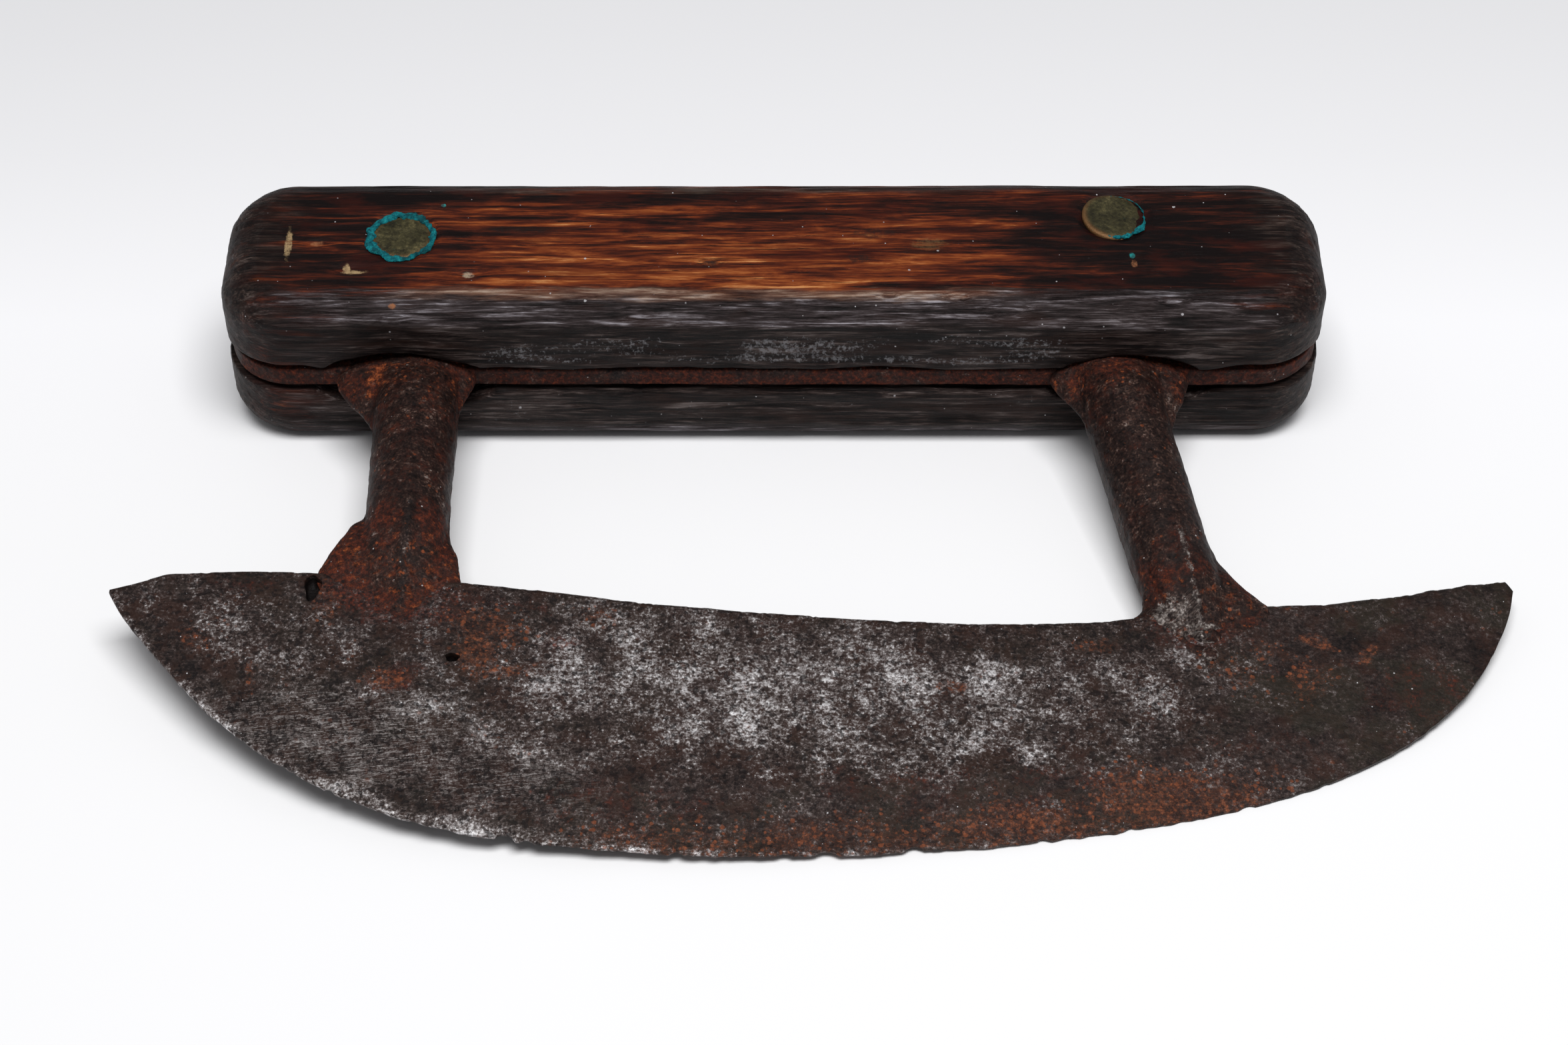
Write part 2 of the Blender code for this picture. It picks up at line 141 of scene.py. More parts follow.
# Blade, in millimetres, in the blade frame.
BLADE_SPINE_THICKNESS = 2.2
BLADE_EDGE_THICKNESS = 0.5
BLADE_BEVEL_WIDTH = 11.0
BLADE_COLUMNS = 560
BLADE_ROWS = 130
BLADE_BACK = [
    (-91.2, -59.8), (-88.0, -58.9), (-83.8, -57.4), (-79.3, -56.8), (-74.0, -56.4), (-68.0, -56.2),
    (-62.0, -56.4), (-43.0, -57.5), (-33.2, -58.5), (-14.7, -60.6), (3.8, -61.9), (22.0, -62.6),
    (36.0, -62.4), (46.0, -61.6), (60.0, -58.8), (71.5, -57.7), (78.0, -57.2), (83.2, -56.1),
    (88.5, -55.0), (94.0, -53.6), (103.0, -51.5),
]
BLADE_EDGE = [
    (-91.2, -60.4), (-89.2, -64.0), (-84.5, -70.4), (-80.0, -76.1), (-75.0, -81.5), (-70.0, -86.0),
    (-64.0, -90.4), (-57.0, -94.5), (-48.0, -98.3), (-40.0, -100.4), (-28.0, -101.9), (-17.0, -102.7),
    (-8.0, -103.1), (4.0, -102.8), (15.0, -101.9), (28.0, -100.5), (42.0, -98.3), (56.0, -95.2),
    (68.0, -91.2), (78.0, -86.6), (88.0, -79.8), (95.0, -72.4), (100.4, -63.4), (103.0, -57.2),
    (103.9, -53.6),
]
# Nicks in the cutting edge: where along u, half width and depth.
EDGE_NICKS = [
    (-34.6, 1.3, 0.9), (-31.8, 0.9, 0.4), (-12.4, 0.8, 0.45), (1.5, 1.0, 0.5), (7.0, 1.6, 0.6),
    (18.5, 1.2, 0.55), (35.5, 0.9, 0.4), (47.0, 0.7, 0.35), (62.8, 1.0, 0.6), (73.5, 0.6, 0.3),
    (-58.0, 0.7, 0.3), (89.0, 0.7, 0.3),
]

# Holes in the blade, their bottoms painted near-black as shade: centre, half sizes and the bottom's height.
WELD_VOID = (-63.4, -59.4, 1.35, 2.4)
PIN_HOLE = (-43.4, -71.3, 1.0, 0.8)
PIT_FLOOR = -0.6
PIT_SHADE_REACH = 1.3
PIT_SHADE_DEPTH = -0.8

# A post's sections from the handle to its foot:
# (v, left u, right u, half thickness of the flat part, half width and half thickness of the round part).
LEFT_POST_SECTIONS = [
    (-9.0, -60.5, -44.5, 3.3, 6.0, 3.3),
    (-13.0, -62.6, -43.8, 3.3, 6.0, 3.3),
    (-15.5, -64.4, -43.8, 3.1, 6.2, 3.8),
    (-17.5, -64.0, -44.4, 2.7, 6.2, 4.7),
    (-20.0, -62.2, -45.3, 2.4, 6.1, 5.6),
    (-22.5, -60.0, -45.7, 1.9, 6.1, 6.0),
    (-26.0, -58.1, -45.8, 1.2, 6.1, 6.0),
    (-34.0, -57.8, -45.8, 0.8, 6.0, 6.0),
    (-43.0, -57.5, -45.6, 0.8, 5.95, 5.95),
    (-45.6, -57.8, -45.5, 1.6, 5.9, 5.7),
    (-46.8, -59.3, -45.4, 2.2, 5.9, 5.5),
    (-49.5, -60.4, -45.1, 2.3, 5.8, 5.1),
    (-52.5, -61.9, -44.0, 2.4, 5.6, 4.5),
    (-55.5, -63.2, -43.4, 2.4, 5.2, 3.6),
    (-57.8, -63.1, -43.0, 1.7, 4.8, 2.6),
    (-60.5, -61.5, -42.8, 1.2, 4.2, 1.8),
    (-63.0, -59.5, -44.6, 0.95, 3.4, 1.3),
    (-65.2, -56.0, -48.0, 0.8, 2.6, 0.9),
]
RIGHT_POST_SECTIONS = [
    (-9.0, 43.0, 58.5, 3.3, 6.0, 3.3),
    (-13.0, 41.4, 59.6, 3.3, 6.0, 3.4),
    (-15.5, 40.4, 61.1, 3.1, 6.2, 4.3),
    (-17.5, 41.4, 60.6, 2.7, 6.2, 5.1),
    (-20.0, 43.2, 59.9, 2.3, 6.1, 5.8),
    (-22.5, 44.6, 58.9, 1.8, 6.1, 6.0),
    (-26.0, 45.7, 58.0, 1.2, 6.1, 6.0),
    (-34.0, 47.3, 59.3, 0.8, 6.0, 6.0),
    (-43.0, 49.1, 60.9, 0.8, 5.95, 5.95),
    (-46.5, 49.7, 61.8, 1.6, 5.9, 5.8),
    (-49.5, 50.3, 62.7, 2.2, 5.9, 5.5),
    (-52.5, 51.0, 64.3, 2.4, 5.8, 4.9),
    (-55.5, 51.6, 66.7, 2.4, 5.5, 4.1),
    (-58.5, 51.5, 69.6, 1.9, 5.1, 3.0),
    (-61.5, 49.0, 71.0, 1.3, 4.6, 2.1),
    (-65.0, 50.6, 69.0, 0.95, 3.8, 1.4),
    (-68.0, 53.8, 65.2, 0.8, 3.0, 0.95),
]
LEFT_POST_AXIS = [(-9.0, -52.2), (-26.0, -51.9), (-65.2, -51.2)]
RIGHT_POST_AXIS = [(-9.0, 49.2), (-30.0, 52.4), (-50.0, 56.1), (-68.0, 59.4)]
POST_AROUND = 72
POST_STEP = 0.32

# Rivets and pins, in millimetres. The right rivet's head has lifted a little.
RIVET_HEAD_RADIUS = 4.5
LIFTED_HEAD_RADIUS = 4.9
LIFTED_HEAD_TILT = math.radians(6.0)
STUD_RADIUS = 1.6
SLEEVE_RADIUS = 2.6
# How far the stud ends above the handle's lower face, and the sleeve below its upper face.
STUD_END = 4.0
SLEEVE_END = 13.0
VERDIGRIS_AROUND = 300
FOOT_PIN_RADIUS = 1.15
FOOT_PIN_REACH = {"left": 1.7, "right": 1.75}

# Where the posts push the scales' edges apart: centre u, half width and rise.
ARCHES = [(-54.5, 11.5, 2.7), (52.5, 10.0, 2.7)]
# Small chips broken out of the upper scale: u, v, reach and depth.
NOTCHES = [
    (16.9, -11.6, 0.7, 0.5), (26.5, -11.8, 0.8, 0.6), (33.8, -13.6, 1.5, 0.6), (-55.3, -15.0, 0.8, 0.4),
    (-67.2, -0.5, 0.9, 0.35), (-61.4, -6.2, 1.6, 0.5), (-44.5, -7.5, 1.1, 0.4), (22.9, -0.8, 1.3, 0.3),
    (-9.3, -5.0, 0.8, 0.4), (58.0, -12.5, 1.0, 0.5), (-20.0, -14.2, 1.2, 0.4), (70.0, -13.0, 1.1, 0.5),
]
# Small marks on the upper scale: place (u, v, w), reach, colour in linear light and strength.
TAN = (0.36, 0.25, 0.13, 1.0)
RUSTY_TAN = (0.27, 0.11, 0.05, 1.0)
TEAL = (0.02, 0.24, 0.24, 1.0)
PALE = (0.32, 0.25, 0.18, 1.0)
KNOT = (0.19, 0.11, 0.045, 1.0)
SOOT = (0.013, 0.009, 0.008, 1.0)
MARK_DEPTH = 2.5
MARK_RAGGED = 1.6
MARK_SOFTNESS = 0.25
UPPER_MARKS = [
    ((-71.4, -0.8, 14.0), (0.5, 3.0), TAN, 0.85), ((-67.2, -0.5, 14.0), (0.9, 0.5), RUSTY_TAN, 0.8),
    ((-61.4, -6.6, 14.0), (1.7, 0.45), TAN, 0.95), ((-62.4, -5.8, 14.0), (0.5, 0.8), TAN, 0.95),
    ((-44.5, -7.5, 14.0), (0.8, 0.6), PALE, 0.9), ((-55.3, -13.0, 12.0), (0.65, 0.4), RUSTY_TAN, 1.0),
    ((-49.1, 7.5, 14.0), (0.35, 0.35), TEAL, 0.9), ((52.6, -3.5, 14.0), (0.4, 0.5), TEAL, 0.9),
    ((52.8, -5.2, 14.0), (0.4, 0.7), RUSTY_TAN, 0.7), ((22.9, -0.8, 14.0), (2.4, 1.2), KNOT, 0.35),
    ((12.5, -4.0, 14.0), (1.8, 1.0), SOOT, 0.7), ((-9.3, -5.0, 14.0), (0.9, 0.6), SOOT, 0.8),
    ((14.5, 1.5, 14.0), (3.0, 1.1), SOOT, 0.6), ((-38.0, 2.2, 14.0), (4.0, 0.8), SOOT, 0.6),
]


# ---------------------------------------------------------------- places taken from the frame


def handle_frame_from(record):
    """The handle's own frame: its w axis is the upper face's normal, its centre the middle of the scales."""
    normal = Vector(next(m["axis"] for m in record["mounts"] if m["name"] == "upper_face")).normalized()
    along = Vector((1.0, 0.0, 0.0))
    across = normal.cross(along).normalized()
    lows, highs = zip(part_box("upper_scale"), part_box("lower_scale"))
    low = Vector(map(min, *lows))
    high = Vector(map(max, *highs))
    matrix = Matrix.Identity(4)
    for column, axis in enumerate((along, across, normal, (low + high) / 2)):
        for row in range(3):
            matrix[row][column] = axis[row]
    return matrix


def size_in_frame(node, matrix):
    """A CAD node's extent along each axis of a frame, in millimetres."""
    inverse = np.array(matrix.inverted())
    points = np.array([v.co for v in node.data.vertices]) @ inverse[:3, :3].T + inverse[:3, 3]
    return points.min(axis=0) / MM, points.max(axis=0) / MM


def centre_in_frame(node, matrix):
    low, high = size_in_frame(node, matrix)
    return (low + high) / 2


# ---------------------------------------------------------------- smooth random numbers


def lattice(cell, seed):
    """A number from -1 to 1 for every whole-number cell."""
    mixed = (cell[..., 0] * 73856093) ^ (cell[..., 1] * 19349663) ^ (cell[..., 2] * 83492791) ^ (seed * 97531)
    mixed &= 0xFFFFFFFF
    mixed = ((mixed ^ (mixed >> 15)) * 2246822519) & 0xFFFFFFFF
    mixed = ((mixed ^ (mixed >> 13)) * 3266489917) & 0xFFFFFFFF
    return ((mixed ^ (mixed >> 16)) & 0xFFFF) / 32767.5 - 1.0


def noise(points, size, octaves=1, seed=0):
    """Smooth noise, mostly within -1 to 1. size is one wavelength, or one for each axis."""
    total = np.zeros(len(points))
    strength = 1.0
    scaled = points / np.asarray(size, float)
    for octave in range(octaves):
        cell = np.floor(scaled).astype(np.int64)
        t = scaled - cell
        t = t * t * (3 - 2 * t)
        for corner in product((0, 1), repeat=3):
            weight = np.prod(np.where(corner, t, 1 - t), axis=1)
            total += strength * weight * lattice(cell + np.array(corner), seed + octave)
        strength *= 0.5
        scaled = scaled * 2.03 + 17.1
    return total


def spots(points, spacing, radius, seed):
    """Round spots scattered over u and v: 1 at a spot's middle, 0 outside it."""
    flat = points[:, :2] / spacing
    cell = np.floor(flat).astype(np.int64)
    nearest = np.full(len(points), 9.0)
    for shift in product((-1, 0, 1), repeat=2):
        corner = cell + np.array(shift)
        key = np.column_stack([corner, np.zeros(len(points), np.int64)])
        middle = corner + 0.5 + 0.4 * np.column_stack([lattice(key, seed), lattice(key, seed + 1)])
        reach = radius / spacing * (0.75 + 0.5 * lattice(key, seed + 2))
        distance = np.linalg.norm(flat - middle, axis=1) / np.maximum(reach, 0.02)
        nearest = np.minimum(nearest, distance)
    return fade(1.0, 0.2, nearest)


def fade(start, end, value):
    """0 before start, 1 after end, smooth between. start may lie above end."""
    t = np.clip((value - start) / (end - start), 0.0, 1.0)
    return t * t * (3 - 2 * t)


def patches(points, listed, seed, warp=2.0):
    """The strongest of several soft-edged oval patches: (u, v, half length, half height, amount)."""
    u = points[:, 0] + warp * noise(points, 7.0, 3, seed)
    v = points[:, 1] + warp * noise(points, 6.0, 3, seed + 40)
    strongest = np.zeros(len(points))
    for centre_u, centre_v, reach_u, reach_v, amount in listed:
        distance = np.hypot((u - centre_u) / reach_u, (v - centre_v) / reach_v)
        strongest = np.maximum(strongest, amount * fade(1.25, 0.35, distance))
    return strongest


# ---------------------------------------------------------------- meshes


def curve_through(points, count):
    """`count` points on a smooth curve through the given ones, evenly spaced along their chords."""
    knots = np.array(points, float)
    steps = np.linalg.norm(np.diff(knots, axis=0), axis=1)
    along = np.concatenate([[0.0], np.cumsum(steps)])
    slopes = np.gradient(knots, along, axis=0)
    wanted = np.linspace(0.0, along[-1], count)
    index = np.clip(np.searchsorted(along, wanted, side="right") - 1, 0, len(knots) - 2)
    width = (along[index + 1] - along[index])[:, None]
    t = (wanted - along[index])[:, None] / width
    return (
        (2 * t**3 - 3 * t**2 + 1) * knots[index]
        + (t**3 - 2 * t**2 + t) * width * slopes[index]
        + (3 * t**2 - 2 * t**3) * knots[index + 1]
        + (t**3 - t**2) * width * slopes[index + 1]
    )


def at_height(outline, height):
    """Points of a plane put at one height."""
    return np.column_stack([outline, np.full(len(outline), height)])


def ring_faces(rings, count):
    """Quads between neighbouring rings of `count` points."""
    start = np.arange(rings - 1)[:, None] * count
    here = np.arange(count)[None, :]
    following = (here + 1) % count
    corners = (start + here, start + following, start + count + following, start + count + here)
    return np.stack(corners, axis=-1).reshape(-1, 4)


def make_piece(name, rings, frame, material, capped=True):
    """A closed mesh through rings of points given in millimetres, welded where points meet."""
    points = np.array(rings, float)
    count = points.shape[1]
    faces = ring_faces(len(points), count).tolist()
    if capped:
        last = (len(points) - 1) * count
        faces += [list(range(count)), list(range(last, last + count))]
    data = bpy.data.meshes.new(name)
    data.from_pydata((points.reshape(-1, 3) * MM).tolist(), [], faces)
    mesh = bmesh.new()
    mesh.from_mesh(data)
    bmesh.ops.remove_doubles(mesh, verts=mesh.verts, dist=WELD_DISTANCE)
    bmesh.ops.recalc_face_normals(mesh, faces=mesh.faces)
    mesh.to_mesh(data)
    mesh.free()
    data.shade_smooth()
    data.materials.append(material)
    piece = bpy.data.objects.new(name, data)
    piece.matrix_world = frame
    bpy.context.scene.collection.objects.link(piece)
    return piece


def read_points(piece):
    """A piece's vertices, in millimetres, in its own frame."""
    points = np.zeros(len(piece.data.vertices) * 3, np.float32)
    piece.data.vertices.foreach_get("co", points)
    return points.reshape(-1, 3).astype(float) / MM


def read_normals(piece):
    normals = np.zeros(len(piece.data.vertices) * 3, np.float32)
    piece.data.vertices.foreach_get("normal", normals)
    return normals.reshape(-1, 3).astype(float)


def write_points(piece, points):
    """Sets a piece's vertices and keeps them off the table's surface."""
    matrix = np.array(piece.matrix_world)
    world = points * MM @ matrix[:3, :3].T + matrix[:3, 3]
    world[:, 2] = np.maximum(world[:, 2], TABLE_CLEARANCE)
    inverse = np.linalg.inv(matrix)
    local = world @ inverse[:3, :3].T + inverse[:3, 3]
    piece.data.vertices.foreach_set("co", local.astype(np.float32).ravel())
    piece.data.update()


def push_out(piece, relief):
    """Moves a piece's vertices along their normals by a number of millimetres each."""
    write_points(piece, read_points(piece) + read_normals(piece) * relief[:, None])


def paint(piece, **channels):
    """Stores one number, or one for each vertex, under each name, for the piece's material."""
    for name, values in channels.items():
        attribute = piece.data.attributes.new(name, "FLOAT", "POINT")
        values = np.clip(np.broadcast_to(values, len(piece.data.vertices)), 0.0, 1.0)
        attribute.data.foreach_set("value", values.astype(np.float32))


def settle(piece):
    """Stores each vertex's place in the piece's frame for the material, then puts the mesh in the world's."""
    place = piece.data.attributes.new("place", "FLOAT_VECTOR", "POINT")
    place.data.foreach_set("vector", read_points(piece).astype(np.float32).ravel())
    piece.data.transform(piece.matrix_world)
    piece.matrix_world = Matrix.Identity(4)


def apply_cut(piece, cutters):
    """Cuts holes in a piece and removes the cutters."""
    for cutter in cutters:
        modifier = piece.modifiers.new("cut", "BOOLEAN")
        modifier.operation = "DIFFERENCE"
        modifier.solver = "EXACT"
        modifier.object = cutter
    graph = bpy.context.evaluated_depsgraph_get()
    finished = bpy.data.meshes.new_from_object(piece.evaluated_get(graph))
    piece.modifiers.clear()
    piece.data = finished
    for cutter in cutters:
        bpy.data.objects.remove(cutter)


# ---------------------------------------------------------------- material nodes


def srgb(red, green, blue):
    """A colour given as 0 to 255, in linear light and a little deeper."""
    linear = []
    for value in (red, green, blue):
        share = value / 255
        share = share / 12.92 if share <= 0.04045 else ((share + 0.055) / 1.055) ** 2.4
        linear.append(share**DEPTH)
    return (*linear, 1.0)


class Value:
    """An output of a shader node. A number's output can be used in sums and products."""

    def __init__(self, finish, socket):
        self.finish = finish
        self.socket = socket

    def __add__(self, other):
        return self.finish.math("ADD", self, other)

    def __sub__(self, other):
        return self.finish.math("SUBTRACT", self, other)

    def __rsub__(self, other):
        return self.finish.math("SUBTRACT", other, self)

    def __mul__(self, other):
        return self.finish.math("MULTIPLY", self, other)

    def swing(self, amount=1.0):
        """Noise about 0.5 turned into noise about 0, and made stronger."""
        return (self - 0.5) * amount

    def rise(self, start, end):
        """0 before start, 1 after end, smooth between."""
        inputs = {"Value": self, "From Min": start, "From Max": end}
        return self.finish.node("MapRange", inputs, interpolation_type="SMOOTHSTEP")

    def between(self, first, second):
        """A number that goes from first to second as this one goes from 0 to 1."""
        return self.finish.node("Mix", {0: self, 2: first, 3: second}, data_type="FLOAT")

    def ramp(self, *stops):
        """A colour from stops of (position, red, green, blue)."""
        colour = self.finish.node("ValToRGB", {0: self})
        elements = colour.socket.node.color_ramp.elements
        while len(elements) < len(stops):
            elements.new(0.5)
        for element, (position, *rgb) in zip(elements, stops):
            element.position = position
            element.color = srgb(*rgb)
        return colour


class Finish:
    """A Principled material whose inputs are written as formulas over places in millimetres."""

    def __init__(self, name, specular=0.5):
        self.material = bpy.data.materials.new(name)
        self.material.use_nodes = True
        self.tree = self.material.node_tree
        self.shader = self.tree.nodes["Principled BSDF"]
        self.connect(self.shader, "Specular IOR Level", specular)
        self.place = self.node("Attribute", {}, "Vector", attribute_name="place")
        self.ragged = self.noise(1.1, 5.0, 0.65, shift=41.0)
        self.colour = None

    def connect(self, node, key, value):
        """Links a value to a node's input, or sets the input to a number."""
        if isinstance(value, Value):
            self.tree.links.new(value.socket, node.inputs[key])
        else:
            node.inputs[key].default_value = value

    def node(self, kind, inputs, output=0, **settings):
        made = self.tree.nodes.new("ShaderNode" + kind)
        for key, value in settings.items():
            setattr(made, key, value)
        for key, value in inputs.items():
            self.connect(made, key, value)
        return Value(self, made.outputs[output])

    def math(self, operation, first, second):
        return self.node("Math", {0: first, 1: second}, operation=operation)

    def vector(self, operation, first, second, output=0):
        return self.node("VectorMath", {0: first, 1: second}, output, operation=operation)

    def painted(self, name):
        return self.node("Attribute", {}, "Fac", attribute_name=name)

    def strongest(self, *values):
        result = values[0]
        for value in values[1:]:
            result = self.math("MAXIMUM", result, value)
        return result

    def mix(self, share, first, second):
        """A colour between two colours."""
        return self.node("Mix", {0: share, 6: first, 7: second}, 2, data_type="RGBA")

    def cover(self, share, colour):
        """Lays a colour over the material's colour so far."""
        self.colour = self.mix(share, self.colour, colour)

    def at_scale(self, size, turn=0.0, shift=0.0):
        """Places divided by a size, or by one for each axis, after a turn about w in degrees."""
        sizes = size if isinstance(size, tuple) else (size, size, size)
        place = self.place
        if turn:
            turned = {"Vector": place, "Angle": math.radians(turn)}
            place = self.node("VectorRotate", turned, rotation_type="Z_AXIS")
        scaled = self.vector("MULTIPLY", place, tuple(1 / s for s in sizes))
        return self.vector("ADD", scaled, (shift,) * 3)

    def noise(self, size, detail=4.0, roughness=0.55, distortion=0.0, turn=0.0, shift=0.0):
        """Noise about 0.5, with features of that size in millimetres."""
        inputs = {
            "Vector": self.at_scale(size, turn, shift), "Scale": 1.0, "Detail": detail,
            "Roughness": roughness, "Distortion": distortion,
        }
        return self.node("TexNoise", inputs, "Fac")

    def grain(self, length, across, *shape, shift=0.0):
        """Noise drawn out along the handle."""
        return self.noise((length, across, across), *shape, shift=shift)

    def cells(self, size, shift):
        """Distance to the nearest of scattered points, in cells, and a random number for each point."""
        inputs = {"Vector": self.at_scale(size, 0.0, shift), "Scale": 1.0}
        distance = self.node("TexVoronoi", inputs, "Distance")
        colour = Value(self, distance.socket.node.outputs["Color"])
        return distance, self.node("SeparateColor", {0: colour})

    def specks(self, size, radius, share, shift):
        """Tiny round specks: 1 on a speck. share is how many cells hold one."""
        distance, chance = self.cells(size, shift)
        dot = 1.0 - (distance + self.ragged.swing(2.4 * radius)).rise(radius * 0.6, radius)
        return dot * chance.rise(1.0 - share, 1.0 - share + 0.02)

    def dust(self, share, colour, *kinds):
        """Scatters several kinds of specks over the material."""
        self.cover(self.strongest(*(self.specks(*kind) for kind in kinds)) * share, colour)

    def pits(self, size, wobble, limits, chances):
        """1 inside small ragged pits, which only some of the cells have."""
        distance, chance = self.cells(size, 23.0)
        pit = 1.0 - (distance + self.ragged.swing(wobble)).rise(*limits)
        return pit * chance.rise(*chances)

    def rust(self, channel, gain, full, level, limits, colour):
        """Lays rust where a painted channel and a noise are high together. Returns how much of it shows."""
        painted = self.painted(channel)
        shows = (level + painted * gain).rise(*limits) * painted.rise(0.0, full)
        self.cover(shows * 0.85, colour)
        return shows

    def mark(self, centre, reach):
        """1 inside an oval of that reach round a place (u, v, w), 0 outside, with a ragged edge."""
        moved = self.vector("ADD", self.place, tuple(-c for c in centre))
        scaled = self.vector("MULTIPLY", moved, tuple(1 / r for r in (*reach, MARK_DEPTH)))
        length = self.vector("LENGTH", scaled, (0.0, 0.0, 0.0), "Value")
        return (length + self.ragged.swing(MARK_RAGGED)).rise(1.0 + MARK_SOFTNESS, 1.0 - MARK_SOFTNESS)

    def bump(self, height, distance, strength=1.0):
        """A normal from a height of 0 to 1 that stands for a distance in millimetres."""
        inputs = {"Height": height, "Distance": distance * MM, "Strength": strength}
        return self.node("Bump", inputs, "Normal")

    def finish(self, roughness, metallic, normal):
        inputs = {"Base Color": self.colour, "Roughness": roughness, "Metallic": metallic, "Normal": normal}
        for name, value in inputs.items():
            self.connect(self.shader, name, value)
        return self.material


def make_blade_iron(name):
    """Old forged plate. Painted channels: bare metal, orange and red rust, scratched, smooth, and painted
    shade at the bottom of holes.
    """
    f = Finish(name, specular=0.18)
    bare, orange, scratched, calm = (f.painted(key) for key in ("bare", "orange", "scratched", "smooth"))

    cloud = f.noise(7.0, 6.0, 0.65, 0.3)
    grain = f.noise(0.85, 6.0, 0.74, 0.3, shift=3.0)
    fine = f.noise(0.4, 3.0, 0.7, shift=4.0)
    dash = f.noise((2.4, 0.3, 1.3), 5.0, 0.7, turn=3, shift=7.0)
    texture = (cloud.swing() + grain.swing(1.2)) + (fine.swing() + dash.swing(0.35))
    texture = texture * calm.between(1.0, 0.75)
    tone = texture + 0.42 + bare * 0.28
    f.colour = tone.ramp(
        (0.16, 18, 14, 15), (0.36, 44, 35, 33), (0.5, 62, 51, 48), (0.6, 84, 74, 72), (0.69, 122, 115, 113),
        (0.8, 176, 171, 171), (0.95, 232, 230, 231),
    )
    shows_bare = tone.rise(0.55, 0.8)
    dull = tone.rise(0.7, 0.5)
    warm = f.noise(4.4, 7.0, 0.7, shift=11.0).rise(0.45, 0.62)
    f.cover(warm * 0.55 * dull, srgb(62, 40, 32))
    olive = f.noise(12.0, 5.0, 0.62, 0.5, shift=12.0).rise(0.46, 0.58) * calm.between(0.3, 1.0)
    f.cover(olive * 0.5 * dull, srgb(50, 47, 38))

    stroke = f.noise((3.2, 0.1, 3.0), 4.0, 0.6, turn=-7, shift=2.0).rise(0.54, 0.65)
    cross = f.noise((2.6, 0.1, 3.0), 3.0, 0.6, turn=-16, shift=5.0).rise(0.57, 0.68)
    slant = f.noise((2.0, 0.1, 3.0), 3.0, 0.6, turn=9, shift=6.0).rise(0.6, 0.7)
    scratch = f.strongest(stroke, cross, slant) * (scratched * texture.rise(-0.2, 0.1))
    f.cover(scratch * 0.85, srgb(176, 171, 169))

    rusty = f.noise(0.6, 7.0, 0.76, shift=15.0)
    reds = rusty.ramp((0.36, 24, 15, 16), (0.48, 58, 32, 27), (0.56, 88, 42, 30), (0.68, 140, 66, 38))
    oranges = rusty.ramp((0.36, 34, 22, 20), (0.48, 84, 52, 40), (0.56, 126, 76, 52), (0.7, 190, 120, 82))
    shows_red = f.rust("red", 0.4, 0.15, f.noise(1.8, 9.0, 0.76, shift=13.0), (0.64, 0.96), reds)
    shows_orange = f.rust("orange", 0.28, 0.1, f.noise(0.9, 9.0, 0.8, shift=19.0), (0.64, 0.92), oranges)

    pit = f.pits(1.15, 0.9, (0.08, 0.36), (0.45, 0.6)) * calm.between(1.0, 0.3)
    pore = f.noise(1.2, 4.0, 0.6, 0.4, shift=25.0).rise(0.57, 0.6) * calm.between(1.0, 0.5)
    pit = f.strongest(pit, pore * 0.85)
    f.cover(pit * 0.85, srgb(26, 20, 21))
    freckle = f.strongest(f.specks(1.5, 0.26, 0.6, 43.0), f.specks(0.9, 0.3, 0.5, 45.0))
    freckle = freckle * (orange + cloud.swing(1.5)).rise(0.15, 0.5)
    f.cover(freckle * 0.65, f.mix(0.5, oranges, srgb(150, 86, 54)))
    kinds = (1.1, 0.07, 0.16, 29.0), (1.9, 0.05, 0.3, 31.0), (4.3, 0.035, 0.7, 35.0)
    f.dust(0.85, srgb(206, 206, 208), *kinds)
    # Painted shade: the bottoms of the weld void and pin hole turned near-black.
    f.cover(f.painted("choked") * 0.92, srgb(12, 8, 8))

    rusted = f.strongest(shows_orange, shows_red)
    roughness = shows_bare.between(calm.between(0.58, 0.46), 0.4) + rusted * 0.25
    height = texture * 0.6 + shows_bare * 0.1 - pit * 0.4 - scratch * 0.12
    return f.finish(roughness, shows_bare.between(0.2, 0.6) * (1.0 - rusted), f.bump(height, 0.16, 0.8))


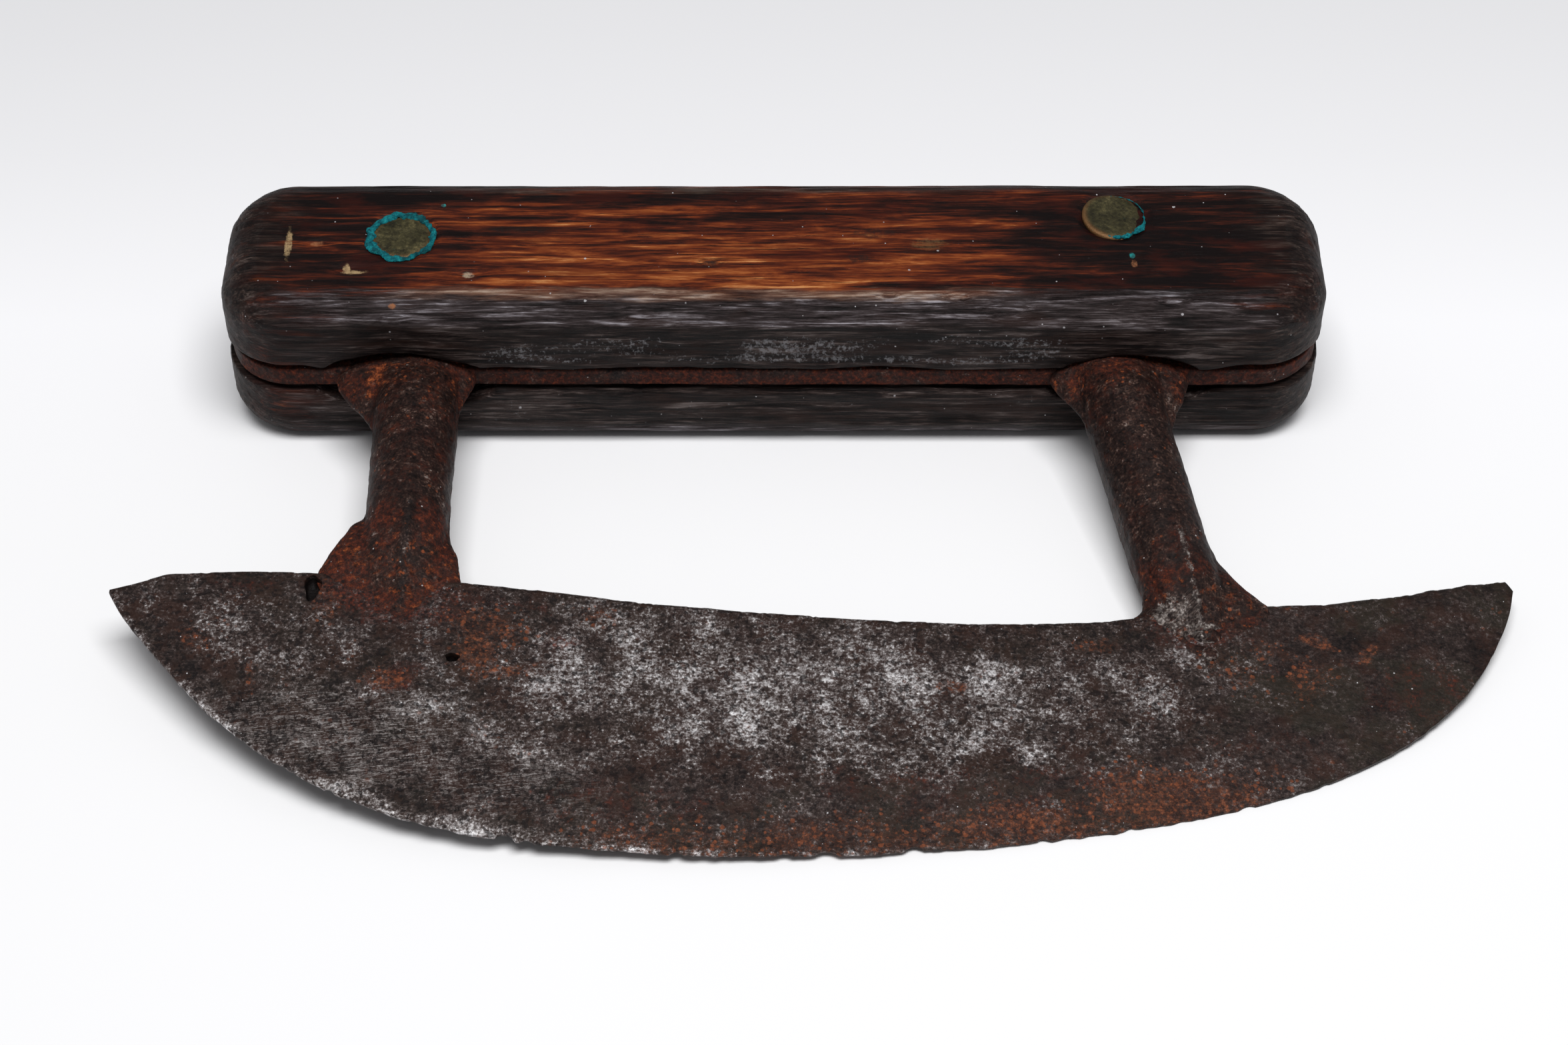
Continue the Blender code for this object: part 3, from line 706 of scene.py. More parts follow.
def make_forged_iron(name):
    """Rusty brown-black bar iron. Painted channels: bare metal, orange rust, red rust, scratched."""
    f = Finish(name, specular=0.12)
    bare, orange, scratched = (f.painted(key) for key in ("bare", "orange", "scratched"))

    cloud = f.noise(5.0, 7.0, 0.7, 0.3)
    grain = f.noise(1.0, 6.0, 0.74, 0.3, shift=3.0)
    fine = f.noise(0.34, 3.0, 0.6, shift=4.0)
    tone = (cloud.swing(0.8) + 0.48) + (grain.swing(1.3) + fine.swing())
    f.colour = tone.ramp(
        (0.16, 14, 10, 10), (0.4, 37, 26, 24), (0.58, 52, 38, 34), (0.76, 88, 68, 60), (0.94, 146, 130, 122)
    )
    rusty = f.noise(0.7, 8.0, 0.78, shift=15.0)
    reds = rusty.ramp((0.36, 26, 16, 16), (0.48, 62, 34, 28), (0.57, 96, 46, 31), (0.7, 148, 76, 44))
    oranges = rusty.ramp((0.38, 84, 42, 30), (0.5, 140, 74, 44), (0.64, 190, 114, 68))
    shows_red = f.rust("red", 0.45, 0.15, f.noise(3.0, 8.0, 0.7, shift=13.0), (0.62, 0.95), reds)
    shows_orange = f.rust("orange", 0.3, 0.1, f.noise(1.5, 9.0, 0.75, shift=19.0), (0.7, 0.84), oranges)
    freckle = f.specks(1.3, 0.22, 0.4, 43.0) * (orange + cloud.swing(1.5)).rise(0.1, 0.5)
    f.cover(freckle * 0.7, srgb(146, 80, 48))

    level = (cloud.swing(0.8) + grain.swing(2.0)) + (bare * 0.75 - 0.4)
    shows_bare = level.rise(-0.05, 0.4)
    f.cover(shows_bare * 0.8, tone.ramp((0.3, 62, 54, 52), (0.5, 104, 96, 92), (0.7, 168, 162, 158)))
    scratch = f.noise((2.4, 0.1, 2.0), 4.0, 0.6, turn=-38, shift=2.0).rise(0.56, 0.68) * scratched
    f.cover(scratch * 0.7, srgb(136, 120, 110))
    pit = f.pits(1.2, 0.5, (0.1, 0.34), (0.5, 0.65))
    f.cover(pit * 0.7, srgb(20, 15, 16))
    f.dust(0.8, srgb(200, 198, 198), (1.3, 0.07, 0.25, 29.0), (2.4, 0.06, 0.4, 31.0))

    rusted = f.strongest(shows_orange, shows_red)
    roughness = shows_bare.between(0.5, 0.4) + rusted * 0.22
    height = grain * 0.8 + shows_orange * 0.2 - pit * 0.4
    return f.finish(roughness, shows_bare.between(0.05, 0.6) * (1.0 - rusted), f.bump(height, 0.25, 0.9))


def make_wood(name, marks):
    """Dark hardwood. Painted channels: worn (amber), dusty, sooty, over_edge (how far past the flat face) and
    rolled (where the wood past the face keeps its colour)."""
    f = Finish(name, specular=0.1)
    worn = f.painted("worn")
    past = f.painted("over_edge") * EDGE_SPAN + f.grain(12.0, 1.6, 6.0, 0.7).swing(3.4)

    wide = f.grain(40.0, 4.2, 5.0, 0.6, 1.0)
    streak = f.grain(20.0, 1.5, 6.0, 0.66, 0.9, shift=3.0)
    fibre = f.grain(6.0, 0.24, 4.0, 0.65, 0.3, shift=5.0)
    blotch = f.grain(10.0, 2.6, 6.0, 0.66, 0.6, shift=8.0)
    level = (wide.swing(1.3) + streak.swing(1.7)) + (fibre.swing(0.7) + blotch.swing(0.9)) + worn
    f.colour = level.ramp(
        (0.06, 22, 15, 15), (0.26, 44, 24, 20), (0.42, 74, 34, 23), (0.6, 112, 54, 29), (0.8, 150, 86, 46),
        (0.98, 196, 140, 90),
    )
    line = f.grain(13.0, 0.42, 5.0, 0.66, 0.8, shift=9.0).rise(0.58, 0.64)
    f.cover(line * 0.85, srgb(22, 13, 14))
    tea = f.grain(12.0, 4.0, 5.0, 0.6, shift=17.0).rise(0.5, 0.66)
    f.cover(tea * 0.4, srgb(72, 28, 19))

    hair = f.grain(6.0, 0.26, 6.0, 0.72, 0.5, shift=13.0)
    groove = f.grain(14.0, 0.9, 5.0, 0.66, 0.9, shift=14.0)
    patchy = f.grain(9.0, 2.4, 5.0, 0.65, 0.6, shift=16.0)
    lit = (hair.swing(1.7) + 0.5) + (groove.swing(2.0) + patchy.swing())
    # Worn fibres over the edge; the lightest, bluish-white streaks of this ramp are partly a painted
    # highlight.
    grey = lit.ramp(
        (0.14, 20, 16, 16), (0.42, 46, 38, 38), (0.62, 71, 63, 64), (0.8, 112, 106, 109), (1.0, 166, 162, 168)
    )
    beige = lit.ramp((0.2, 70, 44, 36), (0.55, 116, 88, 74), (0.9, 168, 146, 128))
    black = lit.ramp((0.2, 14, 10, 10), (0.5, 34, 26, 24), (0.75, 62, 50, 45), (1.0, 96, 84, 78))
    # Lays the worn fibres and their painted highlight streaks over the bevel and the wall below it.
    f.cover(past.rise(1.5, 2.9) * f.painted("rolled").between(1.0, 0.1), grey)
    face_edge = past.rise(0.9, 2.1) * (past.rise(3.4, 2.3) * worn.rise(0.2, 0.6))
    f.cover(face_edge * 0.8, beige)
    f.cover(f.painted("sooty") * 0.92, black)
    brown = f.grain(14.0, 2.4, 5.0, 0.6, shift=21.0).rise(0.52, 0.66)
    f.cover(brown * past.rise(2.0, 4.0) * 0.5, srgb(48, 30, 24))

    crumb = f.noise(0.7, 5.0, 0.75, shift=33.0)
    powder = (crumb.swing(3.0) + patchy.swing(1.2) - 0.62 + f.painted("dusty")).rise(0.0, 0.4)
    f.cover(powder * 0.6, srgb(140, 139, 142))
    f.dust(0.75, srgb(186, 184, 186), (1.5, 0.07, 0.2, 29.0), (2.3, 0.06, 0.3, 31.0), (5.0, 0.05, 0.6, 37.0))
    for place, reach, mark_colour, strength in marks:
        f.cover(f.mark(place, reach) * (crumb.rise(0.3, 0.62) * strength), mark_colour)

    roughness = past.rise(1.8, 2.6).between(streak.between(0.36, 0.5), hair.between(0.3, 0.62)) + powder * 0.3
    height = hair * 0.5 + groove * 0.6 + fibre * 0.2 - line * 0.3
    height = height * past.rise(1.6, 2.6).between(0.25, 1.0)
    return f.finish(roughness, 0.0, f.bump(height, 0.35, 0.8))


def make_brass(name):
    """Dull tarnished brass. Painted channel: rim, the scuffed edge."""
    f = Finish(name, specular=0.3)
    cloud = f.noise(3.0, 6.0, 0.65, 0.6)
    fine = f.noise(0.5, 6.0, 0.7, shift=4.0)
    tone = (cloud.swing(1.2) + fine.swing(0.9)) + 0.5
    f.colour = tone.ramp((0.2, 28, 26, 18), (0.45, 62, 58, 38), (0.62, 82, 77, 52), (0.85, 124, 114, 80))
    f.cover(f.painted("rim") * 0.7, srgb(136, 98, 62))
    green = f.noise(1.5, 6.0, 0.75, shift=9.0).rise(0.64, 0.72)
    f.cover(green * 0.8, srgb(44, 104, 92))
    scratch = f.noise((4.0, 0.12, 1.0), 3.0, 0.5, turn=35, shift=6.0).rise(0.62, 0.72)
    f.cover(scratch * 0.25, srgb(140, 130, 92))
    return f.finish(green.between(0.45, 0.8), green.between(0.45, 0.0), f.bump(tone, 0.15))


def make_verdigris(name):
    """Crumbly blue-green copper salt."""
    f = Finish(name, specular=0.15)
    lump = f.noise(0.6, 7.0, 0.75)
    f.colour = lump.ramp((0.25, 8, 40, 46), (0.42, 10, 84, 94), (0.58, 26, 132, 138), (0.8, 70, 186, 184))
    dark = f.noise(2.2, 5.0, 0.65, shift=8.0).rise(0.5, 0.66)
    f.cover(dark * 0.7, srgb(14, 50, 52))
    return f.finish(0.85, 0.0, f.bump(lump, 0.3))


# ---------------------------------------------------------------- blade


def blade_edge_with_nicks(edge):
    """The cutting edge worn by use: fine teeth all along it and a few real nicks."""
    flat = at_height(edge, 0.0)
    inward = 0.16 * (1 + noise(flat, 1.5, 3, 5)) + 0.14 * (1 + noise(flat, 5.0, 2, 9)) - 0.12
    for place, half_width, depth in EDGE_NICKS:
        inward += depth * np.maximum(1 - ((edge[:, 0] - place) / half_width) ** 2, 0.0) ** 0.7
    calm = fade(-91.0, -80.0, edge[:, 0]) * fade(103.0, 99.0, edge[:, 0])
    edge = edge.copy()
    calm *= 1 - 0.6 * fade(45.0, 70.0, edge[:, 0])
    edge[:, 1] += np.maximum(inward, 0.0) * (0.25 + 0.75 * calm)
    return edge


def blade_back_forged(back):
    """The back as forged: nearly straight, a little ragged at the right tip."""
    flat = at_height(back, 0.0)
    ragged = 0.05 + 0.2 * fade(80.0, 90.0, back[:, 0])
    back = back.copy()
    back[:, 1] -= ragged * (1 + noise(flat, 2.2, 3, 3))
    return back


def blade_rings():
    back = blade_back_forged(curve_through(BLADE_BACK, BLADE_COLUMNS))
    edge = blade_edge_with_nicks(curve_through(BLADE_EDGE, BLADE_COLUMNS))
    spine, thin = BLADE_SPINE_THICKNESS / 2, BLADE_EDGE_THICKNESS / 2
    station = np.linspace(0.0, 1.0, BLADE_ROWS)
    rings = []
    for top, bottom in zip(back, edge):
        across = bottom - top
        depth = np.linalg.norm(across)
        share = np.minimum(depth * (1 - station) / BLADE_BEVEL_WIDTH, 1.0)
        half = thin + (spine - thin) * share * (1.15 - 0.15 * share)
        rounding = 1 - 0.3 * np.exp(-depth * station / 0.35)
        line = top + across * station[:, None]
        front = np.column_stack([line, half * rounding])
        rear = front * (1, 1, -1)
        rings.append(np.concatenate([front, rear[::-1]]))
    return rings


def distance_to_curve(points, curve):
    """Distance in the blade's plane from each point to a curve of points."""
    nearest = np.full(len(points), 1e9)
    for start in range(0, len(curve), 4):
        step = points[:, :2] - curve[start]
        nearest = np.minimum(nearest, (step * step).sum(axis=1))
    return np.sqrt(nearest)


def paint_blade(blade):
    """Where the blade is bare (with a painted glint along the cutting edge), orange or red with rust,
    scratched or smooth, and where shade is painted near-black at the bottom of a pit.
    """
    points = read_points(blade)
    u, w = points[:, 0], points[:, 2]
    side = points.copy()
    side[:, 0] += np.where(w < 0, 31.0, 0.0)
    to_edge = distance_to_curve(points, curve_through(BLADE_EDGE, BLADE_COLUMNS))
    ragged = 1.6 * noise(points, 6.0, 3, 61)

    silver = patches(side, [
        (4, -77, 52, 17, 0.74), (-20, -74, 15, 11, 1.0), (-2, -80, 22, 11, 0.95), (12, -73, 17, 9, 0.9),
        (27, -75, 20, 10, 0.85), (25, -83, 22, 7, 0.75), (-17, -65, 15, 5, 0.75), (-62, -69, 24, 12, 0.26),
        (-42, -77, 16, 10, 0.45), (-58, -67, 12, 5, 0.36), (50, -71, 18, 9, 0.55), (-30, -86, 20, 7, 0.4),
    ], 71, 3.0)
    beveled = fade(13.0, 9.0, to_edge + ragged) * fade(-40.0, -12.0, u)
    silver *= 1 - beveled
    silver *= fade(74.0, 58.0, u + 3 * noise(points, 9.0, 2, 67))
    worn_edge = fade(3.4, 0.3, to_edge + 0.35 * ragged) * fade(-74.0, -56.0, u)
    worn_edge *= fade(-18.0, -38.0, u)
    # Along the cutting edge, a thin broken line of bare metal, brightened in spots as a painted glint.
    glint = 0.9 + 0.8 * noise(points, 2.0, 2, 65)
    thin_line = glint * fade(1.5, 0.1, to_edge) * fade(60.0, 0.0, u)
    bare = np.maximum.reduce([silver, 1.25 * worn_edge, thin_line]) + 0.08 * fade(70.0, 50.0, u)
    calm = fade(58.0, 72.0, u + 4 * noise(points, 9.0, 2, 69))
    calm = np.maximum(calm, 0.5 * beveled)

    edge_rust = fade(8.5, 2.0, to_edge + ragged)
    edge_rust *= fade(-34.0, -20.0, u) * fade(72.0, 60.0, u)
    orange = np.maximum(0.7 * edge_rust, patches(side, [
        (53, -92, 14, 5.5, 1.3), (34, -96.5, 18, 3.5, 0.9), (-40, -70, 5, 4, 0.9), (-38, -66, 8, 4, 0.7),
        (-36, -73.5, 6, 2, 0.9), (75.5, -64.4, 2.6, 1.2, 1.5), (81.6, -67.2, 1.6, 1.5, 1.5),
        (73, -72, 3, 5, 0.7), (-79, -68, 3, 3, 0.6), (-71, -75, 1.2, 4, 0.7), (64, -71, 7, 4, 0.55),
        (-62, -62, 2.5, 4, 0.6), (23.8, -73.6, 2.4, 1.8, 1.1), (-51.5, -75.5, 4.5, 2.5, 0.9),
        (68, -66, 5, 3, 0.5), (44, -67, 5, 2, 0.6), (-23, -63, 5, 2, 0.6),
    ], 73, 1.4)) + 0.12
    red = patches(side, [
        (-55, -60, 9, 5.5, 1.0), (-46, -61, 7, 5, 0.75), (-51, -75.5, 4.5, 3, 0.7), (60, -62, 11, 6, 0.85),
        (-29, -67.5, 4, 2, 0.9), (-37, -61, 9, 2.5, 0.6), (88, -72, 14, 8, 0.55),
        (30, -92, 40, 7, 0.5), (-20, -96, 20, 6, 0.5), (-73, -58.5, 6, 2, 0.6), (66, -82, 14, 6, 0.4),
    ], 79)
    scratched = patches(side, [(-58, -86, 22, 10, 1.0), (-36, -92, 14, 7, 0.8), (-53, -61, 6, 4, 0.6)], 83)
    scratched = np.maximum(scratched, 0.9 * worn_edge)
    # Painted shade at the bottom of the weld void and pin hole: near-black inside each outline, below its
    # rim.
    choked = np.zeros(len(points))
    for centre_u, centre_v, reach_u, reach_v in (WELD_VOID, PIN_HOLE):
        distance = np.hypot((u - centre_u) / reach_u, (points[:, 1] - centre_v) / reach_v)
        choked = np.maximum(choked, (distance < PIT_SHADE_REACH) * (w > PIT_SHADE_DEPTH) * fade(0.95, 0.5, w))
    paint(blade, bare=0.8 * bare, orange=orange, red=red, scratched=scratched, smooth=calm, choked=choked)


def make_blade(frame, iron):
    blade = make_piece("blade_iron", blade_rings(), frame, iron)
    points, normals = read_points(blade), read_normals(blade)
    facing = np.sign(points[:, 2])[:, None]
    to_edge = distance_to_curve(points, curve_through(BLADE_EDGE, BLADE_COLUMNS))
    inside = fade(0.0, 3.0, to_edge)
    dish = 0.16 * noise(points * (1, 1, 0), 38.0, 2, 1) * inside
    hammered = 0.05 * noise(points + 50 * facing, 6.5, 2, 2)
    pits = 0.10 * spots(points + 50 * facing, 2.3, 0.65, 3) + 0.06 * spots(points + 90 * facing, 1.2, 0.4, 7)
    relief = (hammered + 0.03 * noise(points, 1.1, 2, 11) - pits * inside) * (0.4 + 0.6 * inside)
    points += normals * relief[:, None]
    points[:, 2] += dish
    write_points(blade, points)
    apply_cut(blade, [oval_cutter(WELD_VOID, frame, iron, 1.3), oval_cutter(PIN_HOLE, frame, iron, 0.25)])
    blade.data.shade_smooth()
    paint_blade(blade)
    return blade


def oval_cutter(shape, frame, material, point):
    """A drop-shaped or round punch into the blade's front; point draws its lower end out."""
    centre_u, centre_v, reach_u, reach_v = shape
    angles = np.linspace(0, 2 * math.pi, 40, endpoint=False)
    taper = 1 - 0.28 * point * (1 - np.sin(angles)) / 2
    wobble = 1 + 0.07 * np.sin(3 * angles + 1.0) + 0.05 * np.sin(5 * angles)
    rings = []
    for share, height in ((0.55, PIT_FLOOR), (0.8, PIT_FLOOR + 0.25), (0.94, 0.4), (1.0, 1.0), (1.1, 5.0)):
        outline_u = centre_u + share * reach_u * np.cos(angles) * taper * wobble
        outline_v = centre_v + share * reach_v * np.sin(angles) * wobble
        rings.append(at_height(np.column_stack([outline_u, outline_v]), height))
    return make_piece("punch", rings, frame, material)


# ---------------------------------------------------------------- posts


def twist_at(v):
    """How far the blade's twist has built up at v."""
    share = np.clip((v - TWIST_START) / (TWIST_END - TWIST_START), 0.0, 1.0)
    return BLADE_TWIST * share * share * (3 - 2 * share)


def post_rings(sections, axis):
    """Fine sections of a post: a round bar that melts into flat fans at both ends."""
    table = np.array(sections)[::-1]
    axis_v, axis_u = np.array(axis)[::-1].T
    stations = np.arange(table[-1, 0], table[0, 0], -POST_STEP)
    fine = np.array([np.interp(stations, table[:, 0], column) for column in table.T[1:]])
    kernel = np.hanning(7) / np.hanning(7).sum()
    padded = np.pad(fine, ((0, 0), (3, 3)), mode="edge")
    fine = np.array([np.convolve(row, kernel, mode="valid") for row in padded])
    across = -np.cos(np.linspace(0, math.pi, POST_AROUND + 1))
    rings = []
    for v, (left, right, flat, half_width, half_round) in zip(stations, fine.T):
        u = (left + right) / 2 + across * (right - left) / 2
        plate = flat * np.maximum(1 - np.abs(across) ** 2.4, 0.0) ** 0.5
        offset = (u - np.interp(v, axis_v, axis_u)) / half_width
        bar = half_round * np.maximum(1 - offset * offset, 0.0) ** 0.5
        height = (plate**4 + bar**4) ** 0.25
        ring_u = np.concatenate([u, u[-2:0:-1]])
        ring_w = np.concatenate([height, -height[-2:0:-1]])
        turn = twist_at(v)
        rings.append(np.column_stack([
            ring_u * math.cos(turn) + ring_w * math.sin(turn),
            np.full(len(ring_u), v),
            ring_w * math.cos(turn) - ring_u * math.sin(turn),
        ]))
    return rings


def forge_surface(piece, seed, rough=1.0):
    """Hammer marks, scale and small pits."""
    points = read_points(piece)
    relief = 0.14 * noise(points, 8.0, 2, seed) + 0.07 * noise(points, 2.0, 3, seed + 5)
    relief += 0.04 * noise(points, 0.8, 2, seed + 8)
    relief -= 0.12 * np.maximum(noise(points, 1.6, 2, seed + 9) - 0.45, 0.0) / 0.5
    push_out(piece, rough * relief)


def raise_faces(points, height):
    """Moves the upper face up and the lower face down."""
    points[:, 2] += height * np.sign(points[:, 2])


def near_line(points, start, end, reach):
    """1 on a line in the plane of u and v, fading to 0 at reach."""
    start, end = np.array(start, float), np.array(end, float)
    run = end - start
    share = np.clip(((points[:, :2] - start) @ run) / (run @ run), 0, 1)
    distance = np.linalg.norm(points[:, :2] - start - share[:, None] * run, axis=1)
    return fade(reach, 0.0, distance)


def lump(points, centre, reach, height):
    """Points pushed away from a centre, for a smooth bump."""
    away = points - np.array(centre)
    distance = np.linalg.norm(away, axis=1)
    push = height * fade(reach, 0.0, distance)
    return points + away / np.maximum(distance, 0.3)[:, None] * push[:, None]


def rust_at_ends(points, seed, red_ends, least_red, orange_ends, orange_patches):
    """Red and orange rust of a post. Its top and its foot are each (start, end, strength) along v."""
    v = points[:, 1]
    red_top, red_foot = (strength * fade(start, end, v) for start, end, strength in red_ends)
    orange_top, orange_foot = (strength * fade(start, end, v) for start, end, strength in orange_ends)
    red = np.maximum(red_foot, red_top) * (0.75 + 0.35 * noise(points, 6.0, 2, seed))
    return np.maximum(red, least_red), np.maximum(0.2 + orange_top + orange_foot, orange_patches)


def make_left_post(frame, iron):
    post = make_piece("left_post_iron", post_rings(LEFT_POST_SECTIONS, LEFT_POST_AXIS), frame, iron)
    forge_surface(post, 101)
    points = read_points(post)
    raise_faces(points, 0.45 * near_line(points, (-50.6, -46.0), (-51.0, -61.5), 1.7))
    points = lump(points, (-45.5, -52.5, 1.5), 2.6, 0.35)
    write_points(post, points)
    streak = near_line(points, (-50.4, -47.0), (-51.1, -62.5), 1.3)
    flakes = patches(points, [(-58.5, -18.0, 2.5, 4.5, 0.8), (-57, -54, 4, 4, 0.62)], 105, 1.0)
    red, orange = rust_at_ends(
        points, 104, [(-25.0, -19.0, 0.9), (-41.0, -50.0, 1.0)], 0.4,
        [(-30.0, -20.0, 0.35), (-44.0, -56.0, 0.4)], flakes,
    )
    bare = np.maximum(0.42 * streak, 0.16)
    scratched = 0.15 * fade(-52, -58, points[:, 1])
    paint(post, bare=bare, orange=orange, red=red * (1 - 0.6 * streak), scratched=scratched)
    return post


def make_right_post(frame, iron):
    post = make_piece("right_post_iron", post_rings(RIGHT_POST_SECTIONS, RIGHT_POST_AXIS), frame, iron)
    forge_surface(post, 202)
    points = read_points(post)
    raise_faces(points, 0.4 * near_line(points, (56.8, -47.0), (59.0, -62.5), 1.8))
    raise_faces(points, -0.4 * near_line(points, (50.6, -43.0), (53.4, -58.5), 0.9))
    rim = np.hypot((points[:, 0] - 60.0) / 2.2, (points[:, 1] + 64.2) / 1.2)
    from_rim = np.abs(rim - 1.2)
    raise_faces(points, 0.45 * fade(0.5, 0.1, from_rim) - 0.45 * fade(1.0, 0.5, rim))
    points = lump(points, (63.4, -50.5, 0.5), 2.3, 1.2)
    write_points(post, points)
    streak = near_line(points, (57.0, -49.0), (59.2, -63.5), 1.1)
    fan = patches(points, [(55.0, -61.5, 4.6, 4.4, 0.95), (58.0, -64.0, 2.0, 1.5, 1.0)], 205, 0.8)
    flakes = patches(points, [(44.5, -17, 2.5, 4, 0.6), (59.5, -19, 2, 4, 0.6)], 206, 1.0)
    red, orange = rust_at_ends(
        points, 204, [(-24.0, -18.0, 0.8), (-43.0, -54.0, 0.75)], 0.3,
        [(-28.0, -19.0, 0.3), (-46.0, -58.0, 0.3)], flakes,
    )
    bare = np.maximum.reduce([0.95 * streak, 0.95 * fan, fade(0.5, 0.2, from_rim)])
    paint(post, bare=np.maximum(bare, 0.16), orange=orange, red=red * (1 - 0.8 * fan), scratched=fan)
    return post


# ---------------------------------------------------------------- handle


def slab_outline(size, inset):
    """A round-cornered outline seen along w, drawn in by an inset, with evenly spread points."""
    length, width = size[0] - 2 * inset, size[1] - 2 * inset
    radius = min(max(HANDLE_CORNER_RADIUS - inset, 0.0), width / 2)
    arcs = []
    for side_u, side_v, first_angle in ((1, 1, 0), (-1, 1, 90), (-1, -1, 180), (1, -1, 270)):
        angles = np.radians(first_angle + np.linspace(0, 90, 30))
        middle = np.array([side_u * (length / 2 - radius), side_v * (width / 2 - radius)])
        arcs.append(middle + radius * np.column_stack([np.cos(angles), np.sin(angles)]))
    parts = []
    for arc, following, steps in zip(arcs, arcs[1:] + arcs[:1], (SIDE_STEPS, END_STEPS) * 2):
        parts += [arc, np.linspace(arc[-1], following[0], steps + 1)[1:-1]]
    return np.concatenate(parts)


def slab_rings(size, profile):
    rings = []
    for inset, height in profile:
        rings.append(at_height(slab_outline(size, inset), height))
    return rings


def scale_profiles(size, side, gap):
    """Two profiles of equal length, from the hidden inner face over the edge to the border of the outer face.

    The first rolls over the edge as at the handle's ends, the second has the worn bevel of its long sides.
    """
    outer = size[2] / 2
    inner = BAR_THICKNESS / 2 + gap
    start = [(0.25, inner), (0.05, inner + 0.3)]
    profiles = []
    for reach, drop in ((HANDLE_EDGE_ROUND, HANDLE_EDGE_ROUND), (BEVEL_REACH, BEVEL_DROP)):
        profile = start + [(0.0, height) for height in np.linspace(inner + 0.7, outer - drop, 15)]
        for t in np.linspace(0, 1, 26)[1:]:
            angle = math.radians(90 * t)
            arc = np.array([reach * (1 - math.cos(angle)), drop * math.sin(angle)])
            chord = np.array([reach * t, drop * t])
            share = 0.9 if reach == drop else 0.3
            inset, rise = share * arc + (1 - share) * chord
            profile.append((inset, outer - drop + rise))
        profiles.append([(inset, side * height) for inset, height in profile])
    return profiles


def close_face(ring, size, steps):
    """Rings that shrink evenly from a slab's outline to its middle line."""
    reach = (size[0] - size[1]) / 2
    middle = np.column_stack([np.clip(ring[:, 0], -reach, reach), 0 * ring[:, 1], ring[:, 2]])
    return [ring + (middle - ring) * t for t in np.linspace(0, 1, steps)[1:]]


def scale_rings(size, side, gap):
    """The two profiles swept round the handle's outline, blended by which way the outline faces."""
    rolled, beveled = (slab_rings(size, profile) for profile in scale_profiles(size, side, gap))
    wall = rolled[5][:, :2]
    ahead = np.roll(wall, -1, axis=0) - np.roll(wall, 1, axis=0)
    faces_v = -ahead[:, 0] / np.linalg.norm(ahead, axis=1)
    share = np.where(faces_v < 0, 1.0, 0.6) * fade(0.6, 0.97, np.abs(faces_v))
    if side < 0:
        share *= 0.2
    rings = [a + (b - a) * share[:, None] for a, b in zip(rolled, beveled)]
    return close_face(rings[0], size, 8)[::-1] + rings + close_face(rings[-1], size, 34)


def distance_past_face(points, size, side):
    """Millimetres from the border of a scale's outer face: negative on it, growing over the edge and down."""
    half = np.array(size[:2]) / 2 - HANDLE_CORNER_RADIUS
    corner = np.abs(points[:, :2]) - half
    outside = np.linalg.norm(np.maximum(corner, 0.0), axis=1) + np.minimum(corner.max(axis=1), 0.0)
    inset = HANDLE_CORNER_RADIUS - outside
    end = fade(-3.0, 6.0, corner[:, 0]) * fade(8.0, 2.0, np.abs(points[:, 1]) - 6.0)
    reach = BEVEL_REACH + (HANDLE_EDGE_ROUND - BEVEL_REACH) * end
    drop = BEVEL_DROP + (HANDLE_EDGE_ROUND - BEVEL_DROP) * end
    fallen = size[2] / 2 - points[:, 2] * side
    if side < 0:
        reach = drop = np.full(len(points), HANDLE_EDGE_ROUND)
    slope = np.hypot(reach, drop)
    past = np.where(fallen < drop, slope * fallen / drop, slope + fallen - drop)
    return np.where(fallen < 0.02, reach - inset, past)


